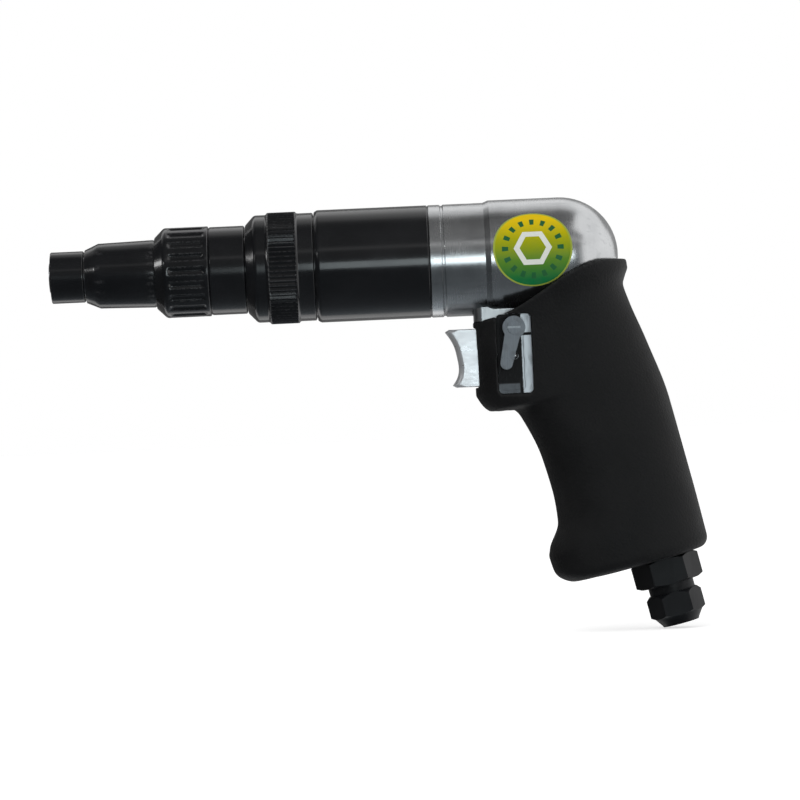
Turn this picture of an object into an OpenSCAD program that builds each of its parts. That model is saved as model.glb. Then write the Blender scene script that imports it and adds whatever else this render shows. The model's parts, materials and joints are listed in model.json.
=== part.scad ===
// Pistol-grip pneumatic screwdriver with an adjustable clutch, in millimetres.
// X is the tool's axis: the mouth of the bit socket is at the origin and the rear is +X. Z is up.

/* [Bit holder] */
// Across flats of the bit socket
bit_af = 6.45; // [6.4:0.05:6.6]
// Depth of the bit socket
bit_depth = 14; // [13:0.5:18]
// Diameter of the spindle
spindle_d = 12; // [11.6:0.1:12.4]
// Outer diameter of the bit sleeve
sleeve_d = 19; // [18.6:0.2:20]
// Length of the bit sleeve
sleeve_l = 12.4; // [12:0.2:14]
// Pull of the bit sleeve that frees the bit
sleeve_pull = 2.5; // [2:0.1:2.6]
// Diameter of a bit retaining ball
bit_ball_d = 3; // [2.8:0.1:3]

/* [Nose and clutch] */
// Largest diameter of the nose housing
nose_d = 25; // [24.6:0.2:25.6]
// Length of the nose housing that shows
nose_l = 25.6; // [24:0.4:30]
// Diameter of the adjusting sleeve over its ribs
adjust_d = 33.3; // [32.8:0.1:34.4]
// Length of the ribbed part of the adjusting sleeve
ribbed_l = 20.2; // [19:0.2:22]
// Length of the smooth part of the adjusting sleeve
smooth_l = 13.2; // [12:0.2:18]
// Lead of the adjusting thread for each turn
adjust_pitch = 1.5; // [1:0.25:1.5]
// Depth of the coupling nut's knurl below the barrel's surface
nut_drop = 0.15; // [0:0.05:0.4]
// Length of the coupling nut
nut_l = 25.2; // [24:0.2:28]
// Diameter of a clutch ball
clutch_ball_d = 5; // [4.6:0.1:5.2]
// Diameter of the clutch spring wire
clutch_wire_d = 2; // [1.6:0.1:2.1]

/* [Barrel] */
// Outer diameter of the clutch housing and of the front of the motor housing
barrel_d = 41.6; // [41.2:0.1:43]
// Wall of the clutch housing
case_wall = 3.4; // [3.2:0.1:3.6]
// Length of the clutch housing that shows
case_l = 42; // [40:0.5:48]
// Outer diameter of the rear of the motor housing
dome_d = 43.2; // [43:0.1:44]
// Length of the motor housing from its front face to the centre of its round end
housing_l = 48.2; // [46:0.2:54]
// Diameter of the tapped hanging hole on top
hanger_d = 4.2; // [3.3:0.1:5]

/* [Gears and motor] */
// Tooth module of the planetary gears
tooth_module = 0.7; // [0.68:0.01:0.72]
// Width of the planet gears
gear_w = 11; // [9:0.5:12]
// Thinnest wall of the motor cylinder
cylinder_wall = 1.35; // [1.2:0.05:1.8]
// Offset of the cylinder bore from the rotor axis
eccentric = 1.4; // [1:0.1:1.4]
// Diameter of the rotor journals
journal_d = 10; // [10:0.1:10.4]

/* [Grip] */
// Lean of the handle from the vertical, in degrees
handle_tilt = 13; // [11:0.5:15]
// Length of the handle from the barrel axis to its foot
grip_l = 116; // [112:1:122]
// Width of the grip
grip_w = 36; // [35:0.5:40]
// Thickness of the rubber at the waist
rubber_t = 4.9; // [4.5:0.1:6]
// Half width of the metal handle core
core_r = 13; // [12.5:0.1:13.4]

/* [Trigger and valves] */
// Distance of the trigger axis below the barrel axis
trigger_drop = 36.4; // [36:0.1:37]
// Height of the trigger
trigger_h = 21.4; // [20:0.2:21.6]
// Width of the trigger
trigger_w = 13; // [11:0.5:13.5]
// Stroke of the trigger
trigger_stroke = 6; // [4:0.5:6]
// Diameter of the valve stem
stem_d = 4; // [3.6:0.1:4.4]
// Diameter of the reverse spool
spool_d = 6; // [5.6:0.1:6]
// Swing of the reverse lever, in degrees
reverse_swing = 28; // [20:1:30]

/* [Air inlet] */
// Across flats of the inlet bushing
bushing_af = 22; // [21:0.5:23]
// Across flats of the inlet adaptor
adaptor_af = 18; // [17:0.5:19]
// Bore of the inlet port, the minor diameter of its thread
port_d = 11.44; // [11:0.02:11.6]

/* [Hidden] */
// Radial clearance of turning and sliding fits
run_gap = 0.06;
// Clearance of pieces that are seated on each other
seat_gap = 0.05;
// Gap between faces of pieces that move past each other
face_gap = 0.3;
// Chamfer of turned edges
edge = 0.4;
// Length by which a cut runs past the face that it opens
past = 1;

spindle_r = spindle_d / 2;
barrel_r = barrel_d / 2;
dome_r = dome_d / 2;
sleeve_r = sleeve_d / 2;
nose_r = nose_d / 2;
adjust_r = adjust_d / 2;
nut_r = barrel_r - nut_drop;
case_bore_r = barrel_r - case_wall;

// Stations along the tool's axis
spindle_chamfer = 0.6;
sleeve_x = spindle_chamfer;
sleeve_end = sleeve_x + sleeve_l;
nose_x = sleeve_end + edge;
nose_end = nose_x + nose_l;
adjust_x = nose_end + face_gap;
smooth_x = adjust_x + ribbed_l;
adjust_end = smooth_x + smooth_l;
nut_x = adjust_end + face_gap;
nut_end = nut_x + nut_l;
case_x = nut_end + face_gap;
case_end = case_x + case_l;
spigot_l = 6.5;
case_rear = case_end + spigot_l;
dome_x = case_end + housing_l;

// Bit holder
clip_groove_r = spindle_r - 0.6;
clip_x = sleeve_x + face_gap;
clip_t = 0.8;
clip_mouth = 2;
land_r = spindle_r + run_gap;
spring_pocket_r = spindle_r + 2;
skirt_r = spindle_r + 0.9;
sleeve_round = 2.2;
sleeve_wire_d = 0.9;
sleeve_turns = 3;
land_x = clip_x + clip_t + sleeve_wire_d * sleeve_turns + sleeve_pull + 0.6;
ball_r = bit_ball_d / 2;
land_l = ball_r + sleeve_pull - 1.2;
ball_x = land_x + ball_r;
ball_off = spindle_r - 0.15 - ball_r;
ball_hole_floor = 2;
stop_r = spindle_r + 1.6;
shoulder_l = 2.5;
hex_lead = 4;
hex_runout = 0.2;

// Nose tube, flange and tail
tube_r = nose_r - 0.2;
nut_lip = 2.9;
flange_x = nut_x + nut_lip + seat_gap;
flange_end = flange_x + 8;
case_front = flange_end + seat_gap;
nut_thread_r = case_bore_r + 1.5;
nut_cone_l = 3;
nut_cone_h = 3.2;
nut_band_r = nut_r - 0.8;
nut_tail_r = nut_r - 0.7;
knurl_x = nut_x + 7.9;
knurl_end = nut_end - 6.2;
knurl_h = 0.5;
knurl_count = 72;
flange_r = nut_thread_r - 0.2;
tail_r = case_bore_r - seat_gap;
tail_end = case_front + 26.4;
tail_bore_r = tail_r - 2.15;
spring_bore_r = tube_r - 1.5;
bush_r = spindle_r + 2.6;
bush_x = nose_x + 3.6;
bush_end = nose_end - 0.6;
shoulder_x = bush_end + 2 * seat_gap;
nose_cone_l = 5;
nose_taper = 0.5;

// Torque adjustment
adjust_turns = 2;
adjust_travel = adjust_pitch * adjust_turns;
adjust_bore_r = adjust_r - 1.5;
adjust_cone_l = 3.2;
adjust_front_r = nose_r + 0.6;
smooth_r = adjust_r - 0.35;
rib_count = 20;
flute_r = 1.8;
flute_off = adjust_r + 1.1;
flute_x = adjust_x + 5;
flute_end = smooth_x - 1.6;
thread_x = adjust_x + 3;
thread_l = 12.5;
ring_x = thread_x + 1.2;
ring_l = 6.4;
pin_x = ring_x + ring_l / 2;
pin_r = 1.25;
pin_slot_gap = 0.15;
pin_bite = 2;
seat_l = 3.4;
seat_x = pin_x - seat_l / 2;
seat_bore_r = spindle_r + 0.4;
washer_x = seat_x + seat_l + seat_gap;
washer_l = 1.2;

// Gears
planet_count = 3;
sun_teeth = 12;
addendum = 0.9 * tooth_module;
dedendum = 1.2 * tooth_module;
ring_wall = 1.7;
ring_room = (case_bore_r - seat_gap - ring_wall - dedendum) * 2 / tooth_module;
planet_teeth = planet_count * floor((ring_room - sun_teeth) / 2 / planet_count);
ring_teeth = sun_teeth + 2 * planet_teeth;
backlash = 0.12;
planet_orbit = tooth_module * (sun_teeth + planet_teeth) / 2;
planet_pin_r = 2;

// Carrier, bearings and cams
holder_x = tail_end + 0.1;
holder_lip = 1.2;
carrier_bore_r = 7.5;
holder_wall = 3.4;
carrier_race_r = case_bore_r - holder_wall;
carrier_bearing_l = 7;
carrier_bearing_x = holder_x + holder_lip;
holder_tail = 2.2;
holder_end = carrier_bearing_x + carrier_bearing_l + holder_tail;
disc_x = holder_end + 0.35;
disc_l = 4;
planet_x = disc_x + disc_l + face_gap;
planet_end = planet_x + gear_w;
ring_gear_x = holder_end + 0.1;
teeth_x = planet_x - 0.8;
teeth_end = planet_end + 0.8;
drive_cam_l = 6.3;
drive_cam_x = holder_x - face_gap - drive_cam_l;
drive_hex_af = 12;
cam_r = tail_bore_r - 1;
cam_gap = 2.6;
clutch_ball_x = drive_cam_x - cam_gap / 2;
clutch_ball_r = clutch_ball_d / 2;
clutch_ball_orbit = 10.3;
driven_cam_l = 7.3;
driven_cam_x = drive_cam_x - cam_gap - driven_cam_l;
cam_room_x = driven_cam_x - 1.5;
driven_hex_af = 10;
cam_hub_l = 3;
pilot_r = 3.5;
pilot_l = 4.2;
pilot_end = drive_cam_x + pilot_l;
clutch_spring_x = washer_x + washer_l + 0.1;
clutch_spring_end = driven_cam_x - 0.1;
clutch_spring_gap = 1.1;
clutch_spring_r = spring_bore_r - clutch_spring_gap - clutch_wire_d / 2;
clutch_turns = 9;
clutch_ball_count = 6;

// Motor
plate_l = 7;
journal_r = journal_d / 2;
race_depth = 4.5;
race_r = journal_r + race_depth;
race_l = 5;
race_end_gap = 0.1;
fit_gap = 0.03;
journal_gap = 0.6;
front_plate_x = case_rear + seat_gap;
cylinder_x = front_plate_x + plate_l + seat_gap;
motor_end = dome_x + 0.3;
rear_plate_x = motor_end - plate_l;
cylinder_end = rear_plate_x - seat_gap;
cylinder_r = case_bore_r - 0.05;
motor_bore_r = cylinder_r + seat_gap;
cylinder_bore_r = cylinder_r - cylinder_wall - eccentric;
rotor_tip_gap = 0.2;
rotor_r = cylinder_bore_r - eccentric - rotor_tip_gap;
vane_count = 5;
vane_t = 1.5;
vane_depth = 6.3;
dowel_r = 1.25;
dowel_off = (cylinder_r + cylinder_bore_r - eccentric) / 2;
spigot_r = case_bore_r + 1.6;
groove_x = case_end + 4.4;
groove_w = 1.4;
step_x = case_end + 20.5;
step_l = 2;
hanger_x = case_end + 15.2;
hanger_floor = barrel_r - 3;
motor_port_x = rear_plate_x + 3;
motor_port_r = 2;
cylinder_port_r = 2.5;
cylinder_port_y = 9;
dowel_inset = 3;

// Handle, seen in its own frame: w runs rearwards, s runs down from the barrel axis
handle_x = dome_x + 7.3;
core_back = 2.5;
core_front = 15;
core_l = grip_l - 4;
inlet_thread_r = 8.3;
inlet_thread_l = 12;
passage_r = 5;
passage_s = trigger_drop + 4.9;
exhaust_w = -15;
exhaust_r = 5;
exhaust_l = 46;
muffler_l = 24;

// Trigger
trigger_z = -trigger_drop;
grip_face_x = handle_x - 40.4;
block_x = grip_face_x + 4.4;
block_half_w = 10.5;
block_corner = 3;
block_top = -18;
block_bottom = trigger_z - 16;
sweep_z = -23.2;
saddle_x = grip_face_x + edge;
saddle_z = sweep_z + seat_gap;
trigger_rear = grip_face_x + 2.4;
trigger_front = grip_face_x - 8.4;
trigger_hollow = 4;
trigger_tip = 1.4;
trigger_lip = 0.8;
trigger_pin_x = trigger_rear + 4;
trigger_pin_r = 0.75;
stem_r = stem_d / 2;
stem_bite = 3;
pocket_end = trigger_rear + trigger_stroke + 0.6;
boss_r = 4;
boss_end = trigger_rear + 8;
boss_stop = boss_end + trigger_stroke + 0.5;
chamber_r = 6.3;
bush_valve_x = pocket_end + 1.4;
seat_end = handle_x - 6;
chamber_end = handle_x + 12;
valve_disc_x = seat_end + 0.6;
valve_disc_l = 3;
valve_disc_r = chamber_r - 1.3;
valve_port_r = 1.6;
valve_bore_x = boss_stop + 2.5;
valve_bore_r = stem_r + 1.6;
valve_wire_r = 0.45;
valve_coil_r = stem_r + 1.5;
valve_turns = 6;

// Side outline of the rubber grip: front and back edges and half width at s
shelf_s = 47.2;
back_w = core_r - core_back;
front_edge = -core_front - core_r;
function face_w(s) = (grip_face_x - handle_x - s * sin(handle_tilt)) / cos(handle_tilt);
grip_front = [[shelf_s - 7, face_w(shelf_s - 7)], [shelf_s - 3, face_w(shelf_s - 7) + 1.4],
    [shelf_s, face_w(shelf_s - 7) + 3.8], [shelf_s + 1.8, front_edge - 10.4], [shelf_s + 5, front_edge - 8.7],
    [shelf_s + 22, front_edge - rubber_t - 0.4], [shelf_s + 34, front_edge - rubber_t],
    [grip_l - 23, front_edge - rubber_t - 1.1], [grip_l - 11.3, front_edge - rubber_t - 7.7],
    [grip_l - 6, front_edge - rubber_t - 7.4], [grip_l, front_edge - rubber_t - 4.3]];
grip_back = [[-10, back_w + 2.5], [2, back_w + 4.6], [8.3, back_w + 5.7], [12, back_w + 3.6],
    [15, back_w + 2.1], [22, back_w + 2.7], [36.5, back_w + rubber_t], [60, back_w + rubber_t + 2.5],
    [grip_l - 25, back_w + rubber_t + 2.6], [grip_l, back_w + rubber_t + 2.3]];
grip_half = [[-10, dome_r + 1.9], [2, dome_r + 1.5], [8, dome_r - 0.2], [14, grip_w / 2 + 1.3],
    [20, grip_w / 2 + 0.2], [30, grip_w / 2 - 0.4], [62, grip_w / 2], [84, grip_w / 2 - 0.5],
    [grip_l - 12, grip_w / 2 + 0.7], [grip_l, grip_w / 2 + 0.5]];
grip_round = 4;
grip_rings = concat([for (s = [-10:4:38]) s], [for (s = [40:1:52]) s],
    [for (s = [55:5:grip_l - grip_round - 1]) s],
    [for (a = [0:22.5:90]) grip_l - grip_round + grip_round * sin(a)]);
grip_sides = 36;

// Reverse valve
spool_r = spool_d / 2;
spool_x = handle_x - 25.7;
spool_z = trigger_z + chamber_r + 1.2 + spool_r;
plate_w = 12.2;
plate_h = 28.6;
plate_z = spool_z - 9.6;
plate_t = 0.8;
plate_rim = 1.8;
plate_corner = 1.4;
plate_shift = -0.9;
plate_side = 2;
plate_end = 1.2;
plate_y = -block_half_w - seat_gap;
lever_y = plate_y - plate_rim - 0.25;
lever_t = 2.6;
lever_l = 13.5;
lever_hub_r = 4.2;
lever_root = 3;
lever_pad_r = 2.3;
lever_pad_rise = 0.8;
screw_r = 1.2;
screw_head_r = 2.4;
screw_head_l = 1.2;
screw_bite = 2;
screw_slot = 0.6;
spool_neck_r = spool_r - 0.6;
spool_clip_y = block_half_w + 0.4;
spool_clip_t = 0.55;
spool_clip_mouth = 2.4;
spool_port = 2.4;
spool_port_l = 10;
detent_r = 1.2;
detent_z = spool_z - 10.4;
detent_floor = chamber_r + 0.9;
detent_gap = 0.15;
detent_wire_r = 0.2;
detent_turns = 3;

// Inlet at the foot of the handle
port_r = port_d / 2;
cover_t = 4.2;
cover_s = core_l + seat_gap;
bushing_s = cover_s + cover_t + seat_gap;
bushing_hex_l = 9.6;
hex_chamfer = 1.4;
bushing_end = bushing_s + bushing_hex_l;
neck_l = 3.2;
adaptor_hex_l = 8.2;
adaptor_s = bushing_end + seat_gap;
adaptor_hex_s = adaptor_s + neck_l;
adaptor_lip_l = 3.8;
adaptor_l = adaptor_hex_l + adaptor_lip_l;
adaptor_end = adaptor_hex_s + adaptor_l;
adaptor_lip_r = port_r + 1.4;
adaptor_neck_r = adaptor_af / 2 - 0.5;
adaptor_bore_r = 4;
screen_t = 0.7;
slot_pitch = 3.6;
slot_w = 1.8;
slot_l = 13;
slot_step = 1.8;
port_l = 12;
shank_r = 6.6;
shank_l = 10;

// Badge on the side of the rear barrel
badge_r = 14.5;
badge_back = 10.4;
badge_x = dome_x - badge_back;
badge_lift = 7;
badge_t = 0.25;

$fn = 64;

// Points of an arc about [x, r], from angle a0 to a1
function arc(x, r, radius, a0, a1, steps) =
    [for (i = [0:steps]) let (a = a0 + (a1 - a0) * i / steps) [x + radius * cos(a), r + radius * sin(a)]];

// Cubic curve through the points p, whose first value rises, with no overshoot
function rise(p, i) = (p[i + 1][1] - p[i][1]) / (p[i + 1][0] - p[i][0]);
function tangent(p, i) =
    i == 0 ? rise(p, 0)
    : i == len(p) - 1 ? rise(p, i - 1)
    : rise(p, i - 1) * rise(p, i) <= 0 ? 0
    : 2 * rise(p, i - 1) * rise(p, i) / (rise(p, i - 1) + rise(p, i));
function span_of(p, t, i = 0) = i >= len(p) - 2 || t <= p[i + 1][0] ? i : span_of(p, t, i + 1);
function curve(p, t) =
    let (i = span_of(p, t), h = p[i + 1][0] - p[i][0], u = (t - p[i][0]) / h)
    (1 + 2 * u) * (1 - u) * (1 - u) * p[i][1] + u * (1 - u) * (1 - u) * h * tangent(p, i)
    + u * u * (3 - 2 * u) * p[i + 1][1] + u * u * (u - 1) * h * tangent(p, i + 1);

// Outline of an involute gear whose teeth are thinned by slack at the pitch circle
function involute(angle) = tan(angle) * 180 / PI - angle;
function flank_angle(teeth, pitch_r, slack, r) =
    90 / teeth - slack * 90 / PI / pitch_r + involute(20)
    - involute(r > pitch_r * cos(20) ? acos(pitch_r * cos(20) / r) : 0);
function gear_outline(teeth, slack, above, below) =
    let (pitch_r = tooth_module * teeth / 2, root_r = pitch_r - below, tip_r = pitch_r + above,
        low_r = max(root_r, pitch_r * cos(20)), steps = 4)
    [for (k = [0:teeth - 1], side = [-1, 1], i = [0:steps + 1])
        let (step = side < 0 ? i : steps + 1 - i,
            r = step == 0 ? root_r : low_r + (tip_r - low_r) * (step - 1) / steps + (step == 1 ? 0.01 : 0),
            a = 360 * k / teeth + side * flank_angle(teeth, pitch_r, slack, max(r, low_r)))
        [r * cos(a), r * sin(a)]];

// Turns the children so that their Z runs along the tool's axis from x
module along_x(x) {
    translate([x, 0, 0]) rotate([0, 90, 0]) children();
}

// Solid turned about the tool's axis from points [x, r]
module turned(points) {
    along_x(0) rotate_extrude() polygon([for (p = points) [p[1], p[0]]]);
}

// Ring about the tool's axis
module ring(x, end, outer, inner) {
    turned([[x, inner], [end, inner], [end, outer], [x, outer]]);
}

module rod(x, end, r) {
    along_x(x) cylinder(r = r, h = end - x);
}

module hexagon(x, end, af) {
    along_x(x) cylinder(d = af / cos(30), h = end - x, $fn = 6);
}

// Places the children in the handle's frame: X is w and Z is -s
module in_handle() {
    translate([handle_x, 0, 0]) rotate([0, -handle_tilt, 0]) children();
}

// Cylinder on a line along the handle at w, from s to end
module handle_rod(w, s, end, r) {
    in_handle() translate([w, 0, -end]) cylinder(r = r, h = end - s);
}

// Stands the children's XY outline up in the XZ plane, centred on y with the thickness t
module upright(y, t) {
    translate([0, y + t / 2, 0]) rotate([90, 0, 0]) linear_extrude(t) children();
}

// Horizontal rod across the tool
module cross_rod(x, z, y0, y1, r) {
    translate([x, y1, z]) rotate([90, 0, 0]) cylinder(r = r, h = y1 - y0);
}

module rounded_rectangle(w, h, r) {
    square([w - 2 * r, h], center = true);
    square([w, h - 2 * r], center = true);
    for (x = [-1, 1], y = [-1, 1])
        translate([x * (w / 2 - r), y * (h / 2 - r)]) circle(r);
}

// Helical wire along Z with closed ends
module coil(r, wire_r, length, turns) {
    steps = 12;
    sides = 6;
    count = turns * steps;
    points = [for (i = [0:count], j = [0:sides - 1])
        let (a = 360 * i / steps, b = 360 * j / sides, q = r + wire_r * cos(b))
        [q * cos(a), q * sin(a), wire_r + (length - 2 * wire_r) * i / count + wire_r * sin(b)]];
    walls = [for (i = [0:count - 1], j = [0:sides - 1], half = [0, 1])
        let (k = (j + 1) % sides, a = i * sides, b = a + sides)
        half == 0 ? [a + j, b + j, b + k] : [a + j, b + k, a + k]];
    start = [for (j = [1:sides - 2]) [0, j, j + 1]];
    finish = [for (j = [1:sides - 2]) [count * sides, count * sides + j + 1, count * sides + j]];
    polyhedron(points, concat(walls, start, finish));
}

// Deep-groove ball bearing from x to end
module bearing(x, end, bore, outer) {
    track = (bore + outer) / 2;
    race = (outer - bore) * 0.3;
    ball = (outer - bore) * 0.26;
    difference() {
        union() {
            ring(x, end, bore + race, bore);
            ring(x, end, outer, outer - race);
        }
        turned(arc((x + end) / 2, track, ball + fit_gap, 0, 345, 23));
    }
    for (k = [0:7]) rotate([45 * k, 0, 0]) translate([(x + end) / 2, 0, track]) sphere(ball, $fn = 32);
}

// Bit holder

module spindle() color("dimgray") difference() {
    union() {
        turned([[0, 0], [0, spindle_r - spindle_chamfer], [spindle_chamfer, spindle_r],
            [clip_x - seat_gap, spindle_r], [clip_x - seat_gap, clip_groove_r],
            [clip_x + clip_t + seat_gap, clip_groove_r], [clip_x + clip_t + seat_gap, spindle_r],
            [sleeve_end + seat_gap, spindle_r], [sleeve_end + seat_gap, stop_r], [bush_x - face_gap, stop_r],
            [bush_x - face_gap, spindle_r], [shoulder_x, spindle_r], [shoulder_x, stop_r],
            [shoulder_x + shoulder_l, stop_r], [shoulder_x + shoulder_l, spindle_r],
            [driven_cam_x - hex_lead, spindle_r], [driven_cam_x - hex_lead, 0]]);
        hexagon(driven_cam_x - hex_lead, drive_cam_x - cam_gap + hex_runout, driven_hex_af);
        rod(drive_cam_x - cam_gap + hex_runout, pilot_end, pilot_r);
    }
    hexagon(-past, bit_depth, bit_af);
    for (side = [0, 180]) rotate([side, 0, 0]) translate([ball_x, 0, ball_hole_floor])
        cylinder(r = ball_r + seat_gap, h = spindle_r);
}

module bit_balls() color("silver") {
    for (side = [0, 180]) rotate([side, 0, 0]) translate([ball_x, 0, ball_off]) sphere(ball_r);
}

module bit_sleeve() color("black") {
    turned(concat(
        [[sleeve_end, sleeve_r - edge], [sleeve_end - edge, sleeve_r]],
        arc(sleeve_x + sleeve_round, sleeve_r - sleeve_round, sleeve_round, 90, 180, 6),
        [[sleeve_x, spring_pocket_r + edge], [sleeve_x + edge, spring_pocket_r], [land_x, spring_pocket_r],
            [land_x, land_r], [land_x + land_l, land_r], [land_x + land_l, skirt_r], [sleeve_end, skirt_r]]));
}

module sleeve_spring() color("silver") {
    along_x(clip_x + clip_t + 0.1)
        coil(spindle_r + 1, sleeve_wire_d / 2, land_x - clip_x - clip_t - 0.2, sleeve_turns);
}

module sleeve_circlip() color("gray") {
    along_x(clip_x) linear_extrude(clip_t) difference() {
        circle(spring_pocket_r - edge);
        circle(clip_groove_r + seat_gap);
        translate([0, -clip_mouth / 2]) square([spring_pocket_r, clip_mouth]);
    }
}

// Nose and torque adjustment

module nose_housing() color("black") difference() {
    turned([[nose_x, stop_r + edge], [nose_x, sleeve_r + face_gap],
        [nose_x + nose_cone_l, nose_r - nose_taper], [nose_end - edge, nose_r],
        [nose_end, nose_r - edge / 2], [nose_end, tube_r], [flange_x, tube_r],
        [flange_x, flange_r], [flange_end, flange_r], [flange_end, tail_r], [tail_end, tail_r],
        [tail_end, tail_bore_r], [cam_room_x, tail_bore_r], [cam_room_x, spring_bore_r],
        [bush_end + seat_gap, spring_bore_r], [bush_end + seat_gap, bush_r + seat_gap],
        [bush_x, bush_r + seat_gap], [bush_x, stop_r + edge]]);
    for (k = [0:2]) rotate([120 * k, 0, 0])
        translate([pin_x - pin_r - face_gap, -pin_r - pin_slot_gap, spring_bore_r - past])
            cube([adjust_travel + 2 * (pin_r + face_gap), 2 * (pin_r + pin_slot_gap),
                adjust_r - spring_bore_r]);
}

module front_bush() color("peru") {
    ring(bush_x + seat_gap, bush_end, bush_r, spindle_r + run_gap);
}

module adjust_sleeve() color("black") difference() {
    turned([[adjust_x, tube_r + run_gap], [adjust_x, adjust_front_r],
        [adjust_x + adjust_cone_l, adjust_r - edge], [adjust_x + adjust_cone_l + 2 * edge, adjust_r],
        [smooth_x - edge, adjust_r], [smooth_x, smooth_r - edge],
        [smooth_x + edge, smooth_r], [adjust_end - edge, smooth_r], [adjust_end, smooth_r - edge],
        [adjust_end, tube_r + run_gap], [thread_x + thread_l, tube_r + run_gap],
        [thread_x + thread_l, adjust_bore_r], [thread_x, adjust_bore_r], [thread_x, tube_r + run_gap]]);
    for (k = [0:rib_count - 1]) rotate([360 * k / rib_count, 0, 0]) translate([0, 0, flute_off])
        rod(flute_x, flute_end, flute_r);
}

module adjust_nut() color("gray") difference() {
    ring(ring_x, ring_x + ring_l, adjust_bore_r - run_gap, tube_r + run_gap);
    for (k = [0:2]) rotate([120 * k, 0, 0]) translate([pin_x, 0, 0])
        cylinder(r = pin_r + seat_gap, h = adjust_r);
}

module adjust_pins() color("silver") {
    for (k = [0:2]) rotate([120 * k, 0, 0]) translate([pin_x, 0, spring_bore_r - pin_bite])
        cylinder(r = pin_r, h = adjust_bore_r - edge - spring_bore_r + pin_bite);
}

module spring_seat() color("gray") difference() {
    ring(seat_x, seat_x + seat_l, spring_bore_r - edge / 2, seat_bore_r);
    for (k = [0:2]) rotate([120 * k, 0, 0]) translate([pin_x, 0, spring_bore_r - pin_bite - seat_gap])
        cylinder(r = pin_r + seat_gap, h = spring_bore_r);
}

module thrust_washer() color("silver") {
    ring(washer_x, washer_x + washer_l, spring_bore_r - face_gap, seat_bore_r);
}

module clutch_spring() color("silver") {
    along_x(clutch_spring_x)
        coil(clutch_spring_r, clutch_wire_d / 2, clutch_spring_end - clutch_spring_x, clutch_turns);
}

module clutch_pockets() {
    for (k = [0:clutch_ball_count - 1]) rotate([360 * k / clutch_ball_count, 0, 0])
        translate([clutch_ball_x, 0, clutch_ball_orbit]) sphere(clutch_ball_r + seat_gap);
}

module driven_cam() color("gray") difference() {
    union() {
        rod(driven_cam_x, driven_cam_x + driven_cam_l, cam_r);
        rod(driven_cam_x - cam_hub_l, driven_cam_x + past, clutch_spring_r - clutch_wire_d / 2 - face_gap);
    }
    hexagon(driven_cam_x - cam_hub_l - past, drive_cam_x, driven_hex_af + 2 * run_gap);
    clutch_pockets();
}

module clutch_balls() color("silver") {
    for (k = [0:clutch_ball_count - 1]) rotate([360 * k / clutch_ball_count, 0, 0])
        translate([clutch_ball_x, 0, clutch_ball_orbit]) sphere(clutch_ball_r);
}

module drive_cam() color("gray") difference() {
    rod(drive_cam_x, drive_cam_x + drive_cam_l, cam_r);
    hexagon(drive_cam_x - past, holder_x, drive_hex_af + 2 * run_gap);
    clutch_pockets();
}

module coupling_nut() color("black") difference() {
    union() {
        turned([[nut_x, 0], [nut_x, nut_band_r - nut_cone_h - edge], [nut_x + nut_cone_l, nut_band_r - edge],
            [nut_x + nut_cone_l + 2 * edge, nut_band_r], [knurl_x - edge, nut_band_r],
            [knurl_x, nut_r - knurl_h], [knurl_end, nut_r - knurl_h], [knurl_end + edge, nut_tail_r],
            [nut_end - edge, nut_tail_r], [nut_end, nut_tail_r - edge], [nut_end, 0]]);
        along_x(knurl_x + edge) linear_extrude(knurl_end - knurl_x - 2 * edge)
            polygon([for (k = [0:2 * knurl_count - 1]) let (a = 180 * k / knurl_count)
                (k % 2 == 0 ? nut_r : nut_r - knurl_h - seat_gap) * [cos(a), sin(a)]]);
    }
    rod(nut_x - past, nut_end + past, tube_r + face_gap);
    rod(nut_x + nut_lip, nut_end + past, nut_thread_r + seat_gap);
}

module clutch_housing() color("black") {
    turned([[case_front, case_bore_r], [case_front, nut_thread_r], [case_x, nut_thread_r],
        [case_x, barrel_r - 2 * edge], [case_x + 3 * edge, barrel_r], [case_end - edge, barrel_r],
        [case_end, barrel_r - edge], [case_end, spigot_r], [case_rear, spigot_r], [case_rear, case_bore_r]]);
}

// Planetary gears

module planet_carrier() color("gray") difference() {
    union() {
        hexagon(drive_cam_x + 0.2, holder_x - 0.2, drive_hex_af);
        rod(holder_x - 0.2, disc_x, carrier_bore_r - fit_gap);
        rod(carrier_bearing_x + carrier_bearing_l + 0.15, disc_x, carrier_bore_r + 1.6);
        rod(disc_x, disc_x + disc_l, planet_orbit + planet_pin_r + 1.8);
    }
    rod(drive_cam_x - 1, pilot_end + 0.8, pilot_r + run_gap);
    for (k = [0:2]) rotate([120 * k, 0, 0]) translate([0, 0, -planet_orbit])
        rod(disc_x + 0.5, disc_x + disc_l + 1, planet_pin_r + seat_gap);
}

module planet_pins() color("silver") {
    for (k = [0:2]) rotate([120 * k, 0, 0]) translate([0, 0, -planet_orbit]) {
        rod(disc_x + 0.6, planet_end + 0.4, planet_pin_r);
        rod(planet_end + 0.35, planet_end + 1, planet_pin_r + 0.8);
    }
}

// Planet gear k, with a tooth space towards the sun
module planet(k) {
    rotate([120 * k, 0, 0]) translate([0, 0, -planet_orbit]) along_x(planet_x) linear_extrude(gear_w)
        rotate(180 - 180 / planet_teeth) difference() {
            polygon(gear_outline(planet_teeth, backlash, addendum, dedendum));
            circle(planet_pin_r + run_gap);
        }
}

module planet_gear_1() color("silver") planet(0);

module planet_gear_2() color("silver") planet(1);

module planet_gear_3() color("silver") planet(2);

module ring_gear() color("gray") difference() {
    ring(ring_gear_x, case_rear - 0.1, case_bore_r - seat_gap, 5);
    rod(ring_gear_x - 1, teeth_x, tooth_module * ring_teeth / 2 + dedendum + 0.2);
    rod(teeth_end, case_rear, tooth_module * ring_teeth / 2 + dedendum + 0.2);
    along_x(teeth_x - 1) linear_extrude(teeth_end - teeth_x + 2)
        rotate(planet_teeth % 2 == 0 ? 180 / ring_teeth : 0)
            polygon(gear_outline(ring_teeth, -backlash, dedendum, addendum));
}

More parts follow.
